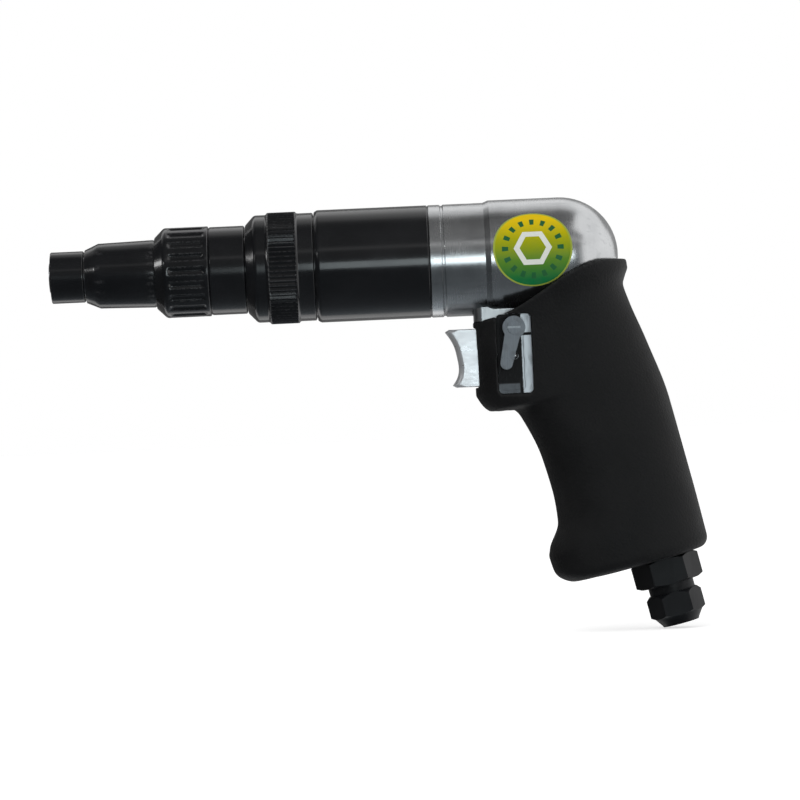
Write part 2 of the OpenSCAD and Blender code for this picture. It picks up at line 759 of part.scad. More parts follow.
module carrier_bearing() color("silver") {
    bearing(carrier_bearing_x + fit_gap, carrier_bearing_x + fit_gap + carrier_bearing_l,
        carrier_bore_r, carrier_race_r);
}

module bearing_holder() color("gray") {
    turned([[holder_x, carrier_race_r - 1.5], [holder_x, case_bore_r - seat_gap],
        [holder_end, case_bore_r - seat_gap], [holder_end, carrier_race_r + fit_gap],
        [carrier_bearing_x, carrier_race_r + fit_gap], [carrier_bearing_x, carrier_race_r - 1.5]]);
}

// Vane motor

module rotor() color("gray") {
    along_x(cylinder_x + seat_gap) linear_extrude(cylinder_end - cylinder_x - 2 * seat_gap) difference() {
        circle(rotor_r);
        for (k = [0:vane_count - 1]) rotate(360 * k / vane_count)
            translate([rotor_r - vane_depth - 0.1, -vane_t / 2 - seat_gap])
                square([vane_depth + 1, vane_t + 2 * seat_gap]);
    }
    rod(front_plate_x - 1, cylinder_x + seat_gap, journal_r - fit_gap);
    rod(cylinder_end - seat_gap, motor_end - 0.4, journal_r - fit_gap);
    rod(planet_end, front_plate_x - 1, tooth_module * sun_teeth / 2 - dedendum);
    along_x(planet_x - 0.3) linear_extrude(gear_w + 1.6)
        polygon(gear_outline(sun_teeth, backlash, addendum, dedendum));
}

module vanes() color("saddlebrown") {
    for (k = [0:vane_count - 1]) rotate([360 * k / vane_count, 0, 0])
        translate([cylinder_x + seat_gap, -vane_t / 2, -rotor_r + 0.05])
            cube([cylinder_end - cylinder_x - 2 * seat_gap, vane_t, vane_depth - 0.1]);
}

module dowel_hole() {
    translate([0, 0, dowel_off])
        rod(front_plate_x + dowel_inset, motor_end - dowel_inset, dowel_r + seat_gap);
}

module motor_cylinder() color("gray") difference() {
    rod(cylinder_x, cylinder_end, cylinder_r);
    translate([0, 0, -eccentric]) rod(cylinder_x - 1, cylinder_end + 1, cylinder_bore_r);
    dowel_hole();
    for (side = [-1, 1])
        translate([(cylinder_x + cylinder_end) / 2, side * cylinder_port_y, -cylinder_r - past])
            cylinder(r = cylinder_port_r, h = cylinder_r - rotor_r + 5);
}

module cylinder_pin() color("silver") {
    translate([0, 0, dowel_off])
        rod(front_plate_x + dowel_inset + seat_gap, motor_end - dowel_inset - seat_gap, dowel_r);
}

module end_plate(x, pocket_x, pocket_end) {
    difference() {
        rod(x, x + plate_l, cylinder_r);
        rod(pocket_x, pocket_end, race_r + fit_gap);
        rod(x - past, x + plate_l + past, journal_r + journal_gap);
        dowel_hole();
    }
}

module front_end_plate() color("silver") {
    end_plate(front_plate_x, front_plate_x - past, front_plate_x + race_l + 2 * race_end_gap);
}

module rear_end_plate() color("silver") {
    end_plate(rear_plate_x, motor_end - race_l - 2 * race_end_gap, motor_end + past);
}

module front_rotor_bearing() color("silver") {
    bearing(front_plate_x + race_end_gap, front_plate_x + race_end_gap + race_l, journal_r, race_r);
}

module rear_rotor_bearing() color("silver") {
    bearing(motor_end - race_end_gap - race_l, motor_end - race_end_gap, journal_r, race_r);
}

// Housing and grip

// Metal handle core, grown all round
module core(s, end, grow) {
    in_handle() translate([0, 0, -end]) linear_extrude(end - s) {
        translate([-core_back, 0]) circle(core_r + grow);
        translate([-core_front, 0]) circle(core_r + grow);
        translate([-core_front, -core_r - grow]) square([core_front - core_back, 2 * (core_r + grow)]);
    }
}

// Metal block that holds the trigger and the valves, with a saddle under the barrel that reaches out over
// the rubber
module trigger_block(grow) {
    for (part = [[block_x, block_bottom], [saddle_x, saddle_z]])
        translate([(part[0] + handle_x) / 2, 0, part[1] - grow])
            linear_extrude(block_top - part[1] + grow)
                rounded_rectangle(handle_x - part[0] + 2 * grow, 2 * (block_half_w + grow), block_corner + grow);
}

// Barrel with its round rear end, grown all round
module barrel(grow) {
    turned(concat(
        [[case_end, 0], [case_end, barrel_r - edge + grow], [case_end + edge, barrel_r + grow],
            [groove_x, barrel_r + grow], [groove_x + edge, barrel_r - edge + grow],
            [groove_x + groove_w - edge, barrel_r - edge + grow], [groove_x + groove_w, barrel_r + grow],
            [step_x, barrel_r + grow], [step_x + step_l, dome_r + grow]],
        arc(dome_x, 0, dome_r + grow, 90, 0, 16)));
}

module trigger_pocket(slack) {
    translate([block_x - 9, -trigger_w / 2 - slack, trigger_z - trigger_h / 2 - slack])
        cube([pocket_end - block_x + 9, trigger_w + 2 * slack, trigger_h + 2 * slack]);
}

module motor_housing() color("silver") difference() {
    union() {
        barrel(0);
        core(0, core_l, 0);
        trigger_block(0);
    }
    rod(case_end - past, motor_end + 0.1, motor_bore_r);
    rod(case_end - past, case_rear + seat_gap, spigot_r + seat_gap);
    translate([hanger_x, 0, hanger_floor]) cylinder(d = hanger_d, h = barrel_r - hanger_floor + past);
    trigger_pocket(face_gap);
    translate([0, 0, trigger_z]) rod(block_x, chamber_end, chamber_r);
    translate([motor_port_x, 0, trigger_z])
        cylinder(r = motor_port_r, h = trigger_drop - motor_bore_r + 2 * past);
    cross_rod(spool_x, spool_z, -block_half_w - past, block_half_w + past, spool_r + run_gap);
    cross_rod(spool_x, detent_z, -block_half_w - past, -detent_floor, detent_r + run_gap);
    handle_rod(0, passage_s, core_l + past, passage_r);
    handle_rod(0, core_l - inlet_thread_l - past / 2, core_l + past, inlet_thread_r + seat_gap);
    handle_rod(exhaust_w, core_l - exhaust_l, core_l + past, exhaust_r);
}

// Front edge of the grip at s: the upright trigger face, then the handle below it
function front_w(s) = s < shelf_s - 7 ? face_w(s) : curve(grip_front, s);

// Ring of points round the grip at s, drawn in over the rounded foot
function grip_ring(s) =
    let (into = max(0, s - grip_l + grip_round),
        inset = grip_round - sqrt(grip_round * grip_round - into * into),
        front = front_w(s) + inset, back = curve(grip_back, s) - inset, half = curve(grip_half, s) - inset,
        power = 2 / 2.7)
    [for (j = [0:grip_sides - 1])
        let (a = 360 * j / grip_sides, c = cos(a), d = sin(a))
        [(front + back) / 2 + (back - front) / 2 * sign(c) * pow(abs(c), power),
            half * sign(d) * pow(abs(d), power), -s]];

module grip_loft() {
    count = len(grip_rings);
    points = [for (s = grip_rings) each grip_ring(s)];
    walls = [for (i = [0:count - 2], j = [0:grip_sides - 1], half = [0, 1])
        let (k = (j + 1) % grip_sides, a = i * grip_sides, b = a + grip_sides)
        half == 0 ? [a + j, b + k, b + j] : [a + j, a + k, b + k]];
    top = [for (j = [1:grip_sides - 2]) [0, j + 1, j]];
    foot = [for (j = [1:grip_sides - 2])
        [(count - 1) * grip_sides, (count - 1) * grip_sides + j, (count - 1) * grip_sides + j + 1]];
    in_handle() polyhedron(points, concat(walls, top, foot));
}

// Edge of the rubber that sweeps from the trigger up towards the barrel axis, from handle_x
sweep_start = [-40, sweep_z];
sweep_end = [9, -2.3];
sweep_rise = 60;
sweep_back = 40;
function sweep(t) =
    pow(1 - t, 3) * sweep_start + 3 * pow(1 - t, 2) * t * [-19, -21.5] + 3 * (1 - t) * t * t * [-9.5, -4]
    + pow(t, 3) * sweep_end;

module rubber_grip() color("dimgray") difference() {
    grip_loft();
    translate([handle_x, 0, 0]) upright(0, 2 * dome_d)
        polygon(concat([[-sweep_rise, sweep_rise], [-sweep_rise, sweep_start[1]]],
            [for (i = [0:14]) sweep(i / 14)],
            [[sweep_back, sweep_end[1]], [sweep_back, sweep_rise]]));
    barrel(seat_gap);
    core(-5, grip_l + 1, seat_gap);
    trigger_block(seat_gap);
    trigger_pocket(face_gap + seat_gap);
    cross_rod(spool_x, spool_z, block_half_w - past, spool_clip_y + spool_clip_t + 2 * edge,
        spool_r + 3 * edge);
    translate([spool_x, -block_half_w, plate_z]) rotate([90, 0, 0]) linear_extrude(grip_w)
        rounded_rectangle(plate_w + 2 * face_gap, plate_h + 2 * face_gap, plate_corner);
}

module badge() color("gold") intersection() {
    along_x(badge_x - badge_r - 1) difference() {
        cylinder(r = dome_r + 0.02 + badge_t, h = 2 * badge_r + 2);
        translate([0, 0, -1]) cylinder(r = dome_r + 0.02, h = 2 * badge_r + 4);
    }
    rotate([-badge_lift, 0, 0]) upright(-dome_r, dome_r) translate([badge_x, 0])
        polygon([for (k = [0:47])
            [badge_r * cos(7.5 * k), dome_r * sin(badge_r / dome_r * sin(7.5 * k) * 180 / PI)]]);
}

// Trigger and throttle valve

module trigger() color("silver") difference() {
    union() {
        upright(0, trigger_w) polygon(concat(
            [[trigger_rear, trigger_z - trigger_h / 2], [trigger_rear, trigger_z + trigger_h / 2],
                [trigger_front + trigger_tip, trigger_z + trigger_h / 2]],
            [for (i = [0:16]) let (t = 1 - i / 8)
                [trigger_front + trigger_hollow * (1 - t * t),
                    trigger_z + t * (trigger_h / 2 - trigger_lip)]],
            [[trigger_front + trigger_tip, trigger_z - trigger_h / 2]]));
        translate([0, 0, trigger_z]) rod(trigger_rear - past, boss_end, boss_r);
    }
    translate([0, 0, trigger_z]) rod(trigger_rear - stem_bite, boss_end + past, stem_r + seat_gap);
    cross_rod(trigger_pin_x, trigger_z, -boss_r - past, boss_r + past, trigger_pin_r + seat_gap);
}

module trigger_pin() color("gray") {
    cross_rod(trigger_pin_x, trigger_z, -boss_r + face_gap, boss_r - face_gap, trigger_pin_r);
}

module valve_stem() color("silver") difference() {
    translate([0, 0, trigger_z])
        rod(trigger_rear - stem_bite + seat_gap, valve_disc_x + valve_disc_l - edge, stem_r);
    cross_rod(trigger_pin_x, trigger_z, -boss_r, boss_r, trigger_pin_r + seat_gap);
}

module valve_bush() color("goldenrod") translate([0, 0, trigger_z]) difference() {
    rod(bush_valve_x, seat_end, chamber_r - seat_gap);
    rod(bush_valve_x - past, boss_stop, boss_r + run_gap);
    rod(bush_valve_x, seat_end, stem_r + run_gap);
    rod(valve_bore_x, seat_end + past, valve_bore_r);
    for (k = [0:3]) rotate([90 * k, 0, 0]) translate([motor_port_x, 0, 0])
        cylinder(r = valve_port_r, h = chamber_r + past);
}

module valve_disc() color("silver") translate([0, 0, trigger_z])
    ring(valve_disc_x, valve_disc_x + valve_disc_l, valve_disc_r, stem_r + seat_gap);

module valve_seal() color("black") translate([0, 0, trigger_z])
    ring(seat_end + seat_gap, valve_disc_x - seat_gap, valve_disc_r - 2 * seat_gap, stem_r + seat_gap);

module valve_spring() color("silver") translate([0, 0, trigger_z])
    along_x(valve_disc_x + valve_disc_l + 0.1)
        coil(valve_coil_r, valve_wire_r, chamber_end - valve_disc_x - valve_disc_l - 0.2, valve_turns);

// Reverse valve

module reverse_spool() color("silver") {
    difference() {
        cross_rod(spool_x, spool_z, lever_y + seat_gap, spool_clip_y + spool_clip_t + edge, spool_r);
        cross_rod(spool_x, spool_z, lever_y - past, plate_y + screw_bite + past, screw_r + seat_gap);
        cross_rod(spool_x, spool_z, spool_clip_y - seat_gap, spool_clip_y + spool_clip_t + seat_gap,
            2 * spool_r);
        translate([spool_x - spool_port / 2, -spool_port_l / 2, spool_z - spool_r - past])
            cube([spool_port, spool_port_l, spool_r]);
    }
    cross_rod(spool_x, spool_z, spool_clip_y - edge, spool_clip_y + spool_clip_t + edge / 2, spool_neck_r);
}

module spool_clip() color("gray") difference() {
    cross_rod(spool_x, spool_z, spool_clip_y, spool_clip_y + spool_clip_t, spool_r + past);
    cross_rod(spool_x, spool_z, spool_clip_y - past, spool_clip_y + 2 * past, spool_neck_r + seat_gap);
    translate([spool_x - spool_clip_mouth / 2, spool_clip_y - past, spool_z - spool_r - 2 * past])
        cube([spool_clip_mouth, 3 * past, spool_r + 2 * past]);
}

// Lever outline: hub, tapering arm and thumb pad, hanging towards the front
module reverse_lever() color("silver") difference() {
    translate([spool_x, 0, spool_z]) rotate([0, reverse_swing / 2, 0]) {
        cross_rod(0, 0, lever_y - lever_t, lever_y, lever_hub_r);
        upright(lever_y - lever_t / 2, lever_t)
            polygon([[-lever_root, 0], [lever_root, 0], [lever_pad_r, -lever_l], [-lever_pad_r, -lever_l]]);
        cross_rod(0, -lever_l, lever_y - lever_t - lever_pad_rise, lever_y, lever_pad_r);
    }
    cross_rod(spool_x, spool_z, lever_y - lever_t - past, lever_y + past, screw_r + 2 * seat_gap);
}

module lever_screw() color("gray") difference() {
    union() {
        cross_rod(spool_x, spool_z, lever_y - lever_t - screw_head_l, lever_y - lever_t - seat_gap,
            screw_head_r);
        cross_rod(spool_x, spool_z, lever_y - lever_t - edge, plate_y + screw_bite, screw_r);
    }
    translate([spool_x, lever_y - lever_t - screw_head_l, spool_z])
        cube([2 * screw_head_r + past, screw_head_l, screw_slot], center = true);
}

module reverse_plate() color("silver") difference() {
    translate([spool_x, plate_y, plate_z]) rotate([90, 0, 0]) difference() {
        linear_extrude(plate_rim) rounded_rectangle(plate_w, plate_h, plate_corner);
        translate([plate_shift, 0, plate_t]) linear_extrude(plate_rim)
            rounded_rectangle(plate_w - 2 * plate_side, plate_h - 2 * plate_end, plate_corner - edge);
    }
    cross_rod(spool_x, spool_z, lever_y, plate_y + past, spool_r + face_gap);
    cross_rod(spool_x, detent_z, lever_y, plate_y + past, detent_r + run_gap);
}

module detent_ball() color("silver") {
    translate([spool_x, lever_y + detent_gap + detent_r, detent_z]) sphere(detent_r);
}

module detent_spring() color("silver") {
    translate([spool_x, -detent_floor - seat_gap, detent_z]) rotate([90, 0, 0])
        coil(detent_r - detent_wire_r - seat_gap, detent_wire_r,
            -lever_y - detent_gap - 2 * detent_r - detent_floor - 2 * seat_gap, detent_turns);
}

// Air inlet at the foot of the handle

module exhaust_cover() color("black") difference() {
    core(cover_s, cover_s + cover_t, 0);
    handle_rod(0, cover_s - past, cover_s + cover_t + past, inlet_thread_r + face_gap);
    for (k = [-2:2]) in_handle()
        translate([exhaust_w - slot_l / 2 - past, k * slot_pitch - slot_w / 2, -cover_s - cover_t - past])
            cube([slot_l - slot_step * abs(k), slot_w, cover_t + 2 * past]);
}

module inlet_bushing() color("black") difference() {
    union() {
        handle_rod(0, core_l - inlet_thread_l, bushing_s + 0.5, inlet_thread_r);
        in_handle() translate([0, 0, -bushing_end]) intersection() {
            cylinder(d = bushing_af / cos(30), h = bushing_hex_l, $fn = 6);
            rotate_extrude() polygon([[0, 0], [bushing_af / 2, 0],
                [bushing_af / 2 + 2 * hex_chamfer, hex_chamfer],
                [bushing_af / 2 + 2 * hex_chamfer, bushing_hex_l - hex_chamfer],
                [bushing_af / 2, bushing_hex_l], [0, bushing_hex_l]]);
        }
    }
    handle_rod(0, 0, bushing_end + past, passage_r);
    handle_rod(0, bushing_end - shank_l - past, bushing_end + past, shank_r + seat_gap);
}

module inlet_adaptor() color("black") difference() {
    union() {
        handle_rod(0, bushing_end - shank_l, adaptor_s + past, shank_r);
        handle_rod(0, adaptor_s, adaptor_hex_s + past, adaptor_neck_r);
        in_handle() translate([0, 0, -adaptor_end]) intersection() {
            cylinder(d = adaptor_af / cos(30), h = adaptor_l, $fn = 6);
            rotate_extrude() polygon([[0, 0], [adaptor_lip_r - edge, 0], [adaptor_lip_r, 2 * edge],
                [adaptor_af / 2, adaptor_lip_l - edge], [adaptor_af / 2 + hex_chamfer, adaptor_lip_l + edge],
                [adaptor_af / 2 + hex_chamfer, adaptor_l - hex_chamfer], [adaptor_af / 2, adaptor_l],
                [0, adaptor_l]]);
        }
    }
    handle_rod(0, 0, adaptor_end + past, adaptor_bore_r);
    handle_rod(0, adaptor_end - port_l, adaptor_end + past, port_r);
}

module inlet_screen() color("silver") in_handle() translate([0, 0, -bushing_end + shank_l + seat_gap])
    linear_extrude(screen_t) difference() {
        circle(shank_r - 2 * seat_gap);
        for (k = [0:5], r = [1.9, 3.8]) rotate(60 * k + 15 * r) translate([r, 0]) circle(0.7, $fn = 24);
    }

module muffler() color("tan") {
    handle_rod(exhaust_w, core_l - muffler_l, core_l - seat_gap, exhaust_r - seat_gap);
}

motor_housing();
rubber_grip();
clutch_housing();
coupling_nut();
nose_housing();
front_bush();
adjust_sleeve();
adjust_nut();
adjust_pins();
spring_seat();
thrust_washer();
clutch_spring();
spindle();
bit_balls();
bit_sleeve();
sleeve_spring();
sleeve_circlip();
driven_cam();
clutch_balls();
drive_cam();
planet_carrier();
planet_pins();
planet_gear_1();
planet_gear_2();
planet_gear_3();
ring_gear();
carrier_bearing();
bearing_holder();
rotor();
vanes();
motor_cylinder();
cylinder_pin();
front_end_plate();
rear_end_plate();
front_rotor_bearing();
rear_rotor_bearing();
trigger();
trigger_pin();
valve_stem();
valve_bush();
valve_disc();
valve_seal();
valve_spring();
reverse_lever();
lever_screw();
reverse_spool();
spool_clip();
reverse_plate();
detent_ball();
detent_spring();
inlet_bushing();
inlet_adaptor();
inlet_screen();
exhaust_cover();
muffler();
badge();
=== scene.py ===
import json
import math

import bmesh
import bpy
from mathutils import Matrix, Vector


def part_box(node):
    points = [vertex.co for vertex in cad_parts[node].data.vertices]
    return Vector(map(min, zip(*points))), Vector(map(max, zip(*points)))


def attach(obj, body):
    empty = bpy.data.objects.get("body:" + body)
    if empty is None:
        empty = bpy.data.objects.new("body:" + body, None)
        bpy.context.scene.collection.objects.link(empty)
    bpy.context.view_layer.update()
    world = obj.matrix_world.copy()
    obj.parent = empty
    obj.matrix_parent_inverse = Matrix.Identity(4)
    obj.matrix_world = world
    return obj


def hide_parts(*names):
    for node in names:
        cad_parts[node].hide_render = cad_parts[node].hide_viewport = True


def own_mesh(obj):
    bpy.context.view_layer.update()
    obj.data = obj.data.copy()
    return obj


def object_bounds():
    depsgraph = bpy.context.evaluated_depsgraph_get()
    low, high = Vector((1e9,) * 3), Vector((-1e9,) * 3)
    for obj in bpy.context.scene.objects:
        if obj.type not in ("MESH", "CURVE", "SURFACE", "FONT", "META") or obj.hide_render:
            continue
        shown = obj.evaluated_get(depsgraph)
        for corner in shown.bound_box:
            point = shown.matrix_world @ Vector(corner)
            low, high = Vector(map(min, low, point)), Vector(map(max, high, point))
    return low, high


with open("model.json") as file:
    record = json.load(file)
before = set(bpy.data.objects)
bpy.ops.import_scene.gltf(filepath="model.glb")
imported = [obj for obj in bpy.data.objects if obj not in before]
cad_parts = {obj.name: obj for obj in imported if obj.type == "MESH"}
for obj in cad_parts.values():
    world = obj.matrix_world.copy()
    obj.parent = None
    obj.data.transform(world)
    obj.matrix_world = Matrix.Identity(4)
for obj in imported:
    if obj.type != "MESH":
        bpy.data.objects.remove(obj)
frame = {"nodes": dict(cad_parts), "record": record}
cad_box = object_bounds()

# Inside works: air motor, planetary gears, clutch, springs and valves, held in the housings.
# Hardened, turned, ground or wound metal with resin vanes and a felt muffler, kept as the frame has them.
# Each finish takes the record's colour and adds tool marks, uneven gloss and a film of oil.
MM = 0.001
slot_colour = {m["slot"]: m["base_color"] for m in frame["record"]["materials"]}


def put(tree, kind, sockets=None, **settings):
    made = tree.nodes.new(kind)
    for key, value in settings.items():
        setattr(made, key, value)
    for key, value in (sockets or {}).items():
        if isinstance(value, bpy.types.NodeSocket):
            tree.links.new(value, made.inputs[key])
        else:
            made.inputs[key].default_value = value
    return made


def bare_finish(name, **fixed):
    finish = bpy.data.materials.new(name)
    finish.use_nodes = True
    shader = finish.node_tree.nodes["Principled BSDF"]
    for key, value in fixed.items():
        shader.inputs[key.replace("_", " ")].default_value = value
    return finish, finish.node_tree, shader


def feed(tree, shader, **sources):
    for key, source in sources.items():
        tree.links.new(source, shader.inputs[key.replace("_", " ")])


def speckle(tree, size, stretch=(1, 1, 1), detail=3.0):
    place = put(tree, "ShaderNodeTexCoord").outputs["Object"]
    stretched = put(tree, "ShaderNodeMapping", {"Vector": place, "Scale": stretch}).outputs[0]
    noise = put(tree, "ShaderNodeTexNoise", {"Vector": stretched, "Scale": 1 / size, "Detail": detail})
    return noise.outputs[0]


def spread(tree, value, low, high, floor, ceiling):
    return put(tree, "ShaderNodeMapRange", {0: value, 1: low, 2: high, 3: floor, 4: ceiling}).outputs[0]


def patches(tree, size, low=0.3, high=0.7, stretch=(1, 1, 1), detail=3.0):
    return spread(tree, speckle(tree, size, stretch, detail), low, high, 0, 1)


def tint(tree, share, low, high):
    mixed = put(tree, "ShaderNodeMix", {0: share}, data_type="RGBA")
    for socket, colour in ((6, low), (7, high)):
        if isinstance(colour, bpy.types.NodeSocket):
            tree.links.new(colour, mixed.inputs[socket])
        else:
            mixed.inputs[socket].default_value = (*colour, 1)
    return mixed.outputs[2]


def relief(tree, shader, height, depth, strength):
    bump = put(tree, "ShaderNodeBump", {"Height": height, "Distance": depth, "Strength": strength})
    feed(tree, shader, Normal=bump.outputs[0])


def works_finish(slot, rough, metal, mark):
    finish, tree, shader = bare_finish(slot + "_works", Metallic=metal)
    dull, bright = [[min(1.0, c * factor) for c in slot_colour[slot]] for factor in (0.78, 1.15)]
    film = spread(tree, speckle(tree, 2.5 * MM), 0.3, 0.7, rough * 0.75, rough * 1.3)
    feed(tree, shader, Base_Color=tint(tree, patches(tree, 7 * MM), dull, bright), Roughness=film)
    relief(tree, shader, speckle(tree, mark * MM, (1, 0.25, 0.25)), 0.02 * MM, 0.35)
    return finish


works = {slot: works_finish(slot, rough, metal, mark) for slot, rough, metal, mark in (
    ("polished_steel", 0.18, 1.0, 0.3),
    ("spindle_steel", 0.3, 1.0, 0.25),
    ("hard_steel", 0.16, 1.0, 0.2),
    ("spring_steel", 0.32, 1.0, 0.3),
    ("gear_steel", 0.36, 1.0, 0.35),
    ("motor_iron", 0.45, 1.0, 0.5),
    ("vane_resin", 0.6, 0.0, 0.2),
    ("bronze", 0.42, 1.0, 0.25),
    ("brass", 0.28, 1.0, 0.3),
    ("seal_rubber", 0.65, 0.0, 0.3),
    ("screen_wire", 0.35, 1.0, 0.2),
    ("muffler_felt", 0.9, 0.0, 0.15),
)}
for node in frame["nodes"].values():
    for held in node.material_slots:
        if held.material.name in works:
            held.material = works[held.material.name]

# Motor housing: the aluminium body round the air motor, with a round rear end and a neck for the trigger.
# Die cast, turned and polished outside; the clutch housing screws into its front.
# Turning rings, hairline scratches and dulled patches break its shine, and its saddle keeps a cast skin.
worn_from = 0.14
worn_full = 0.54
widest_worn = 3 * MM * MM


def reckon(tree, operation, first, second=0.0):
    return put(tree, "ShaderNodeMath", {0: first, 1: second}, operation=operation).outputs[0]


def object_xyz(tree):
    place = put(tree, "ShaderNodeTexCoord").outputs["Object"]
    return put(tree, "ShaderNodeSeparateXYZ", {0: place}).outputs


def off_axis(tree, xyz):
    squares = [reckon(tree, "MULTIPLY", side, side) for side in (xyz[1], xyz[2])]
    return reckon(tree, "SQRT", reckon(tree, "ADD", *squares))


def placed(name, data):
    made = bpy.data.objects.new(name, data)
    bpy.context.scene.collection.objects.link(made)
    return made


def settled(name, mesh, finish, sharp=32):
    for face in mesh.polygons:
        face.use_smooth = True
    mesh.set_sharp_from_angle(angle=math.radians(sharp))
    shape = bmesh.new()
    shape.from_mesh(mesh)
    worn = shape.verts.layers.float.new("edge")
    for line in shape.edges:
        if len(line.link_faces) == 2:
            angle = line.calc_face_angle_signed(0.0)
            bend = max(0.0, min(1.0, (angle - worn_from) / (worn_full - worn_from)))
            for corner in line.verts:
                corner[worn] = max(corner[worn], bend)
    for face in shape.faces:
        if face.calc_area() > widest_worn:
            for corner in face.verts:
                corner[worn] = 0.0
    shape.to_mesh(mesh)
    shape.free()
    mesh.materials.clear()
    mesh.materials.append(finish)
    return placed(name, mesh)


def merged_copy(node):
    shape = bmesh.new()
    shape.from_mesh(frame["nodes"][node].data)
    bmesh.ops.remove_doubles(shape, verts=shape.verts, dist=0.002 * MM)
    bmesh.ops.dissolve_degenerate(shape, dist=0.001 * MM, edges=shape.edges)
    mesh = bpy.data.meshes.new(node + "_copy")
    shape.to_mesh(mesh)
    shape.free()
    if mesh.has_custom_normals:
        mesh.attributes.remove(mesh.attributes["custom_normal"])
    return mesh


barrel_r = 20.8 * MM
step_x = 161.0 * MM
step_l = 2 * MM
dome_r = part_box("motor_housing")[1].y
dome_x = cad_box[0][0] + 188.7 * MM
skin_gap = 0.04 * MM
aluminium, tree, shader = bare_finish("polished_aluminium", Metallic=1.0)
cloud = patches(tree, 11 * MM, 0.32)
rings = speckle(tree, 0.35 * MM, (1, 0.02, 0.02), 4.0)
hairline = patches(tree, 2.2 * MM, 0.58, 0.66, (0.12, 1, 1), 6.0)
bright = tint(tree, cloud, (0.54, 0.55, 0.56), (0.66, 0.67, 0.68))
scratched = tint(tree, reckon(tree, "MULTIPLY", hairline, 0.35), bright, (0.42, 0.43, 0.44))
gloss = reckon(tree, "ADD", spread(tree, cloud, 0, 1, 0.19, 0.27), spread(tree, rings, 0.3, 0.7, -0.03, 0.04))
xyz = object_xyz(tree)
turned_r = spread(tree, xyz[0], step_x, step_x + step_l, barrel_r + skin_gap, dome_r + skin_gap)
unturned = reckon(tree, "GREATER_THAN", off_axis(tree, xyz), turned_r)
cast_skin = reckon(tree, "MULTIPLY", unturned, spread(tree, cloud, 0, 1, 0.1, 0.2))
feed(tree, shader, Base_Color=scratched, Roughness=reckon(tree, "ADD", gloss, cast_skin))
relief(tree, shader, rings, 0.012 * MM, 0.5)

housing_mesh = merged_copy("motor_housing")
motor_housing = settled("motor_housing_cast", housing_mesh, aluminium)
smooth_turn = math.cos(math.radians(7))
turned_normals = [corner.vector.copy() for corner in housing_mesh.corner_normals]
for face in housing_mesh.polygons:
    for loop in face.loop_indices:
        at = housing_mesh.vertices[housing_mesh.loops[loop].vertex_index].co
        round_way = Vector((max(0.0, at.x - dome_x), at.y, at.z)).normalized()
        if round_way.dot(face.normal) > smooth_turn:
            turned_normals[loop] = round_way
housing_mesh.normals_split_custom_set(turned_normals)
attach(motor_housing, "housing")
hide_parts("motor_housing")

# Badge: a round printed film on the side of the motor housing, where the maker's plate of such a tool sits.
# Vinyl under a clear coat, stuck on and wrapped round the barrel and the start of the round end.
# A plain design of the usual colours: a fade from yellow to green, a ring of wedges and a hexagon socket.
badge_low, badge_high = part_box("badge")
badge_x = (badge_low.x + badge_high.x) / 2
badge_r = (badge_high.x - badge_low.x) / 2
badge_lift = math.radians(7)
film_t = 0.25 * MM
film_foot = 0.12 * film_t
film_crown = 0.88
rim_from = 0.97
rim_fall = 0.95
badge_rings = 26
badge_sides = 120


def on_barrel(across, upward, height):
    x = badge_x + across
    past_centre = max(0.0, x - dome_x)
    radius = math.sqrt(dome_r ** 2 - past_centre ** 2) + height
    turn = badge_lift + upward / dome_r
    return Vector((x, -radius * math.cos(turn), radius * math.sin(turn)))


shape = bmesh.new()
flat = shape.loops.layers.uv.new("flat")
printed_at = {}
rims = []
for lifted in (True, False):
    rows = []
    for ring in range(1, badge_rings + 1):
        share = ring / badge_rings
        rim = max(0.0, (share - rim_from) / (1 - rim_from))
        crown = film_crown * (film_foot + film_t * math.sqrt(1 - rim_fall * rim * rim))
        height = crown if lifted else film_foot
        rows.append([])
        for k in range(badge_sides):
            turn = 2 * math.pi * k / badge_sides
            across, upward = share * math.cos(turn), share * math.sin(turn)
            corner = shape.verts.new(on_barrel(badge_r * across, badge_r * upward, height))
            printed_at[corner] = (0.5 + across / 2, 0.5 + upward / 2)
            rows[-1].append(corner)
    hub = shape.verts.new(on_barrel(0, 0, film_t if lifted else film_foot))
    printed_at[hub] = (0.5, 0.5)
    for k in range(badge_sides):
        n = (k + 1) % badge_sides
        shape.faces.new((hub, rows[0][k], rows[0][n]))
        for inner, outer in zip(rows, rows[1:]):
            shape.faces.new((inner[k], outer[k], outer[n], inner[n]))
    rims.append(rows[-1])
top, under = rims
for k in range(badge_sides):
    n = (k + 1) % badge_sides
    shape.faces.new((top[k], under[k], under[n], top[n]))
bmesh.ops.recalc_face_normals(shape, faces=shape.faces)
for face in shape.faces:
    for loop in face.loops:
        loop[flat].uv = printed_at[loop.vert]
badge_mesh = bpy.data.meshes.new("badge_film")
shape.to_mesh(badge_mesh)
shape.free()


def graded(tree, share, stops):
    ramp = put(tree, "ShaderNodeValToRGB", {0: share})
    marks = ramp.color_ramp.elements
    while len(marks) < len(stops):
        marks.new(0.5)
    for mark, (at, colour) in zip(marks, stops):
        mark.position = at
        mark.color = (*colour, 1)
    return ramp.outputs[0]


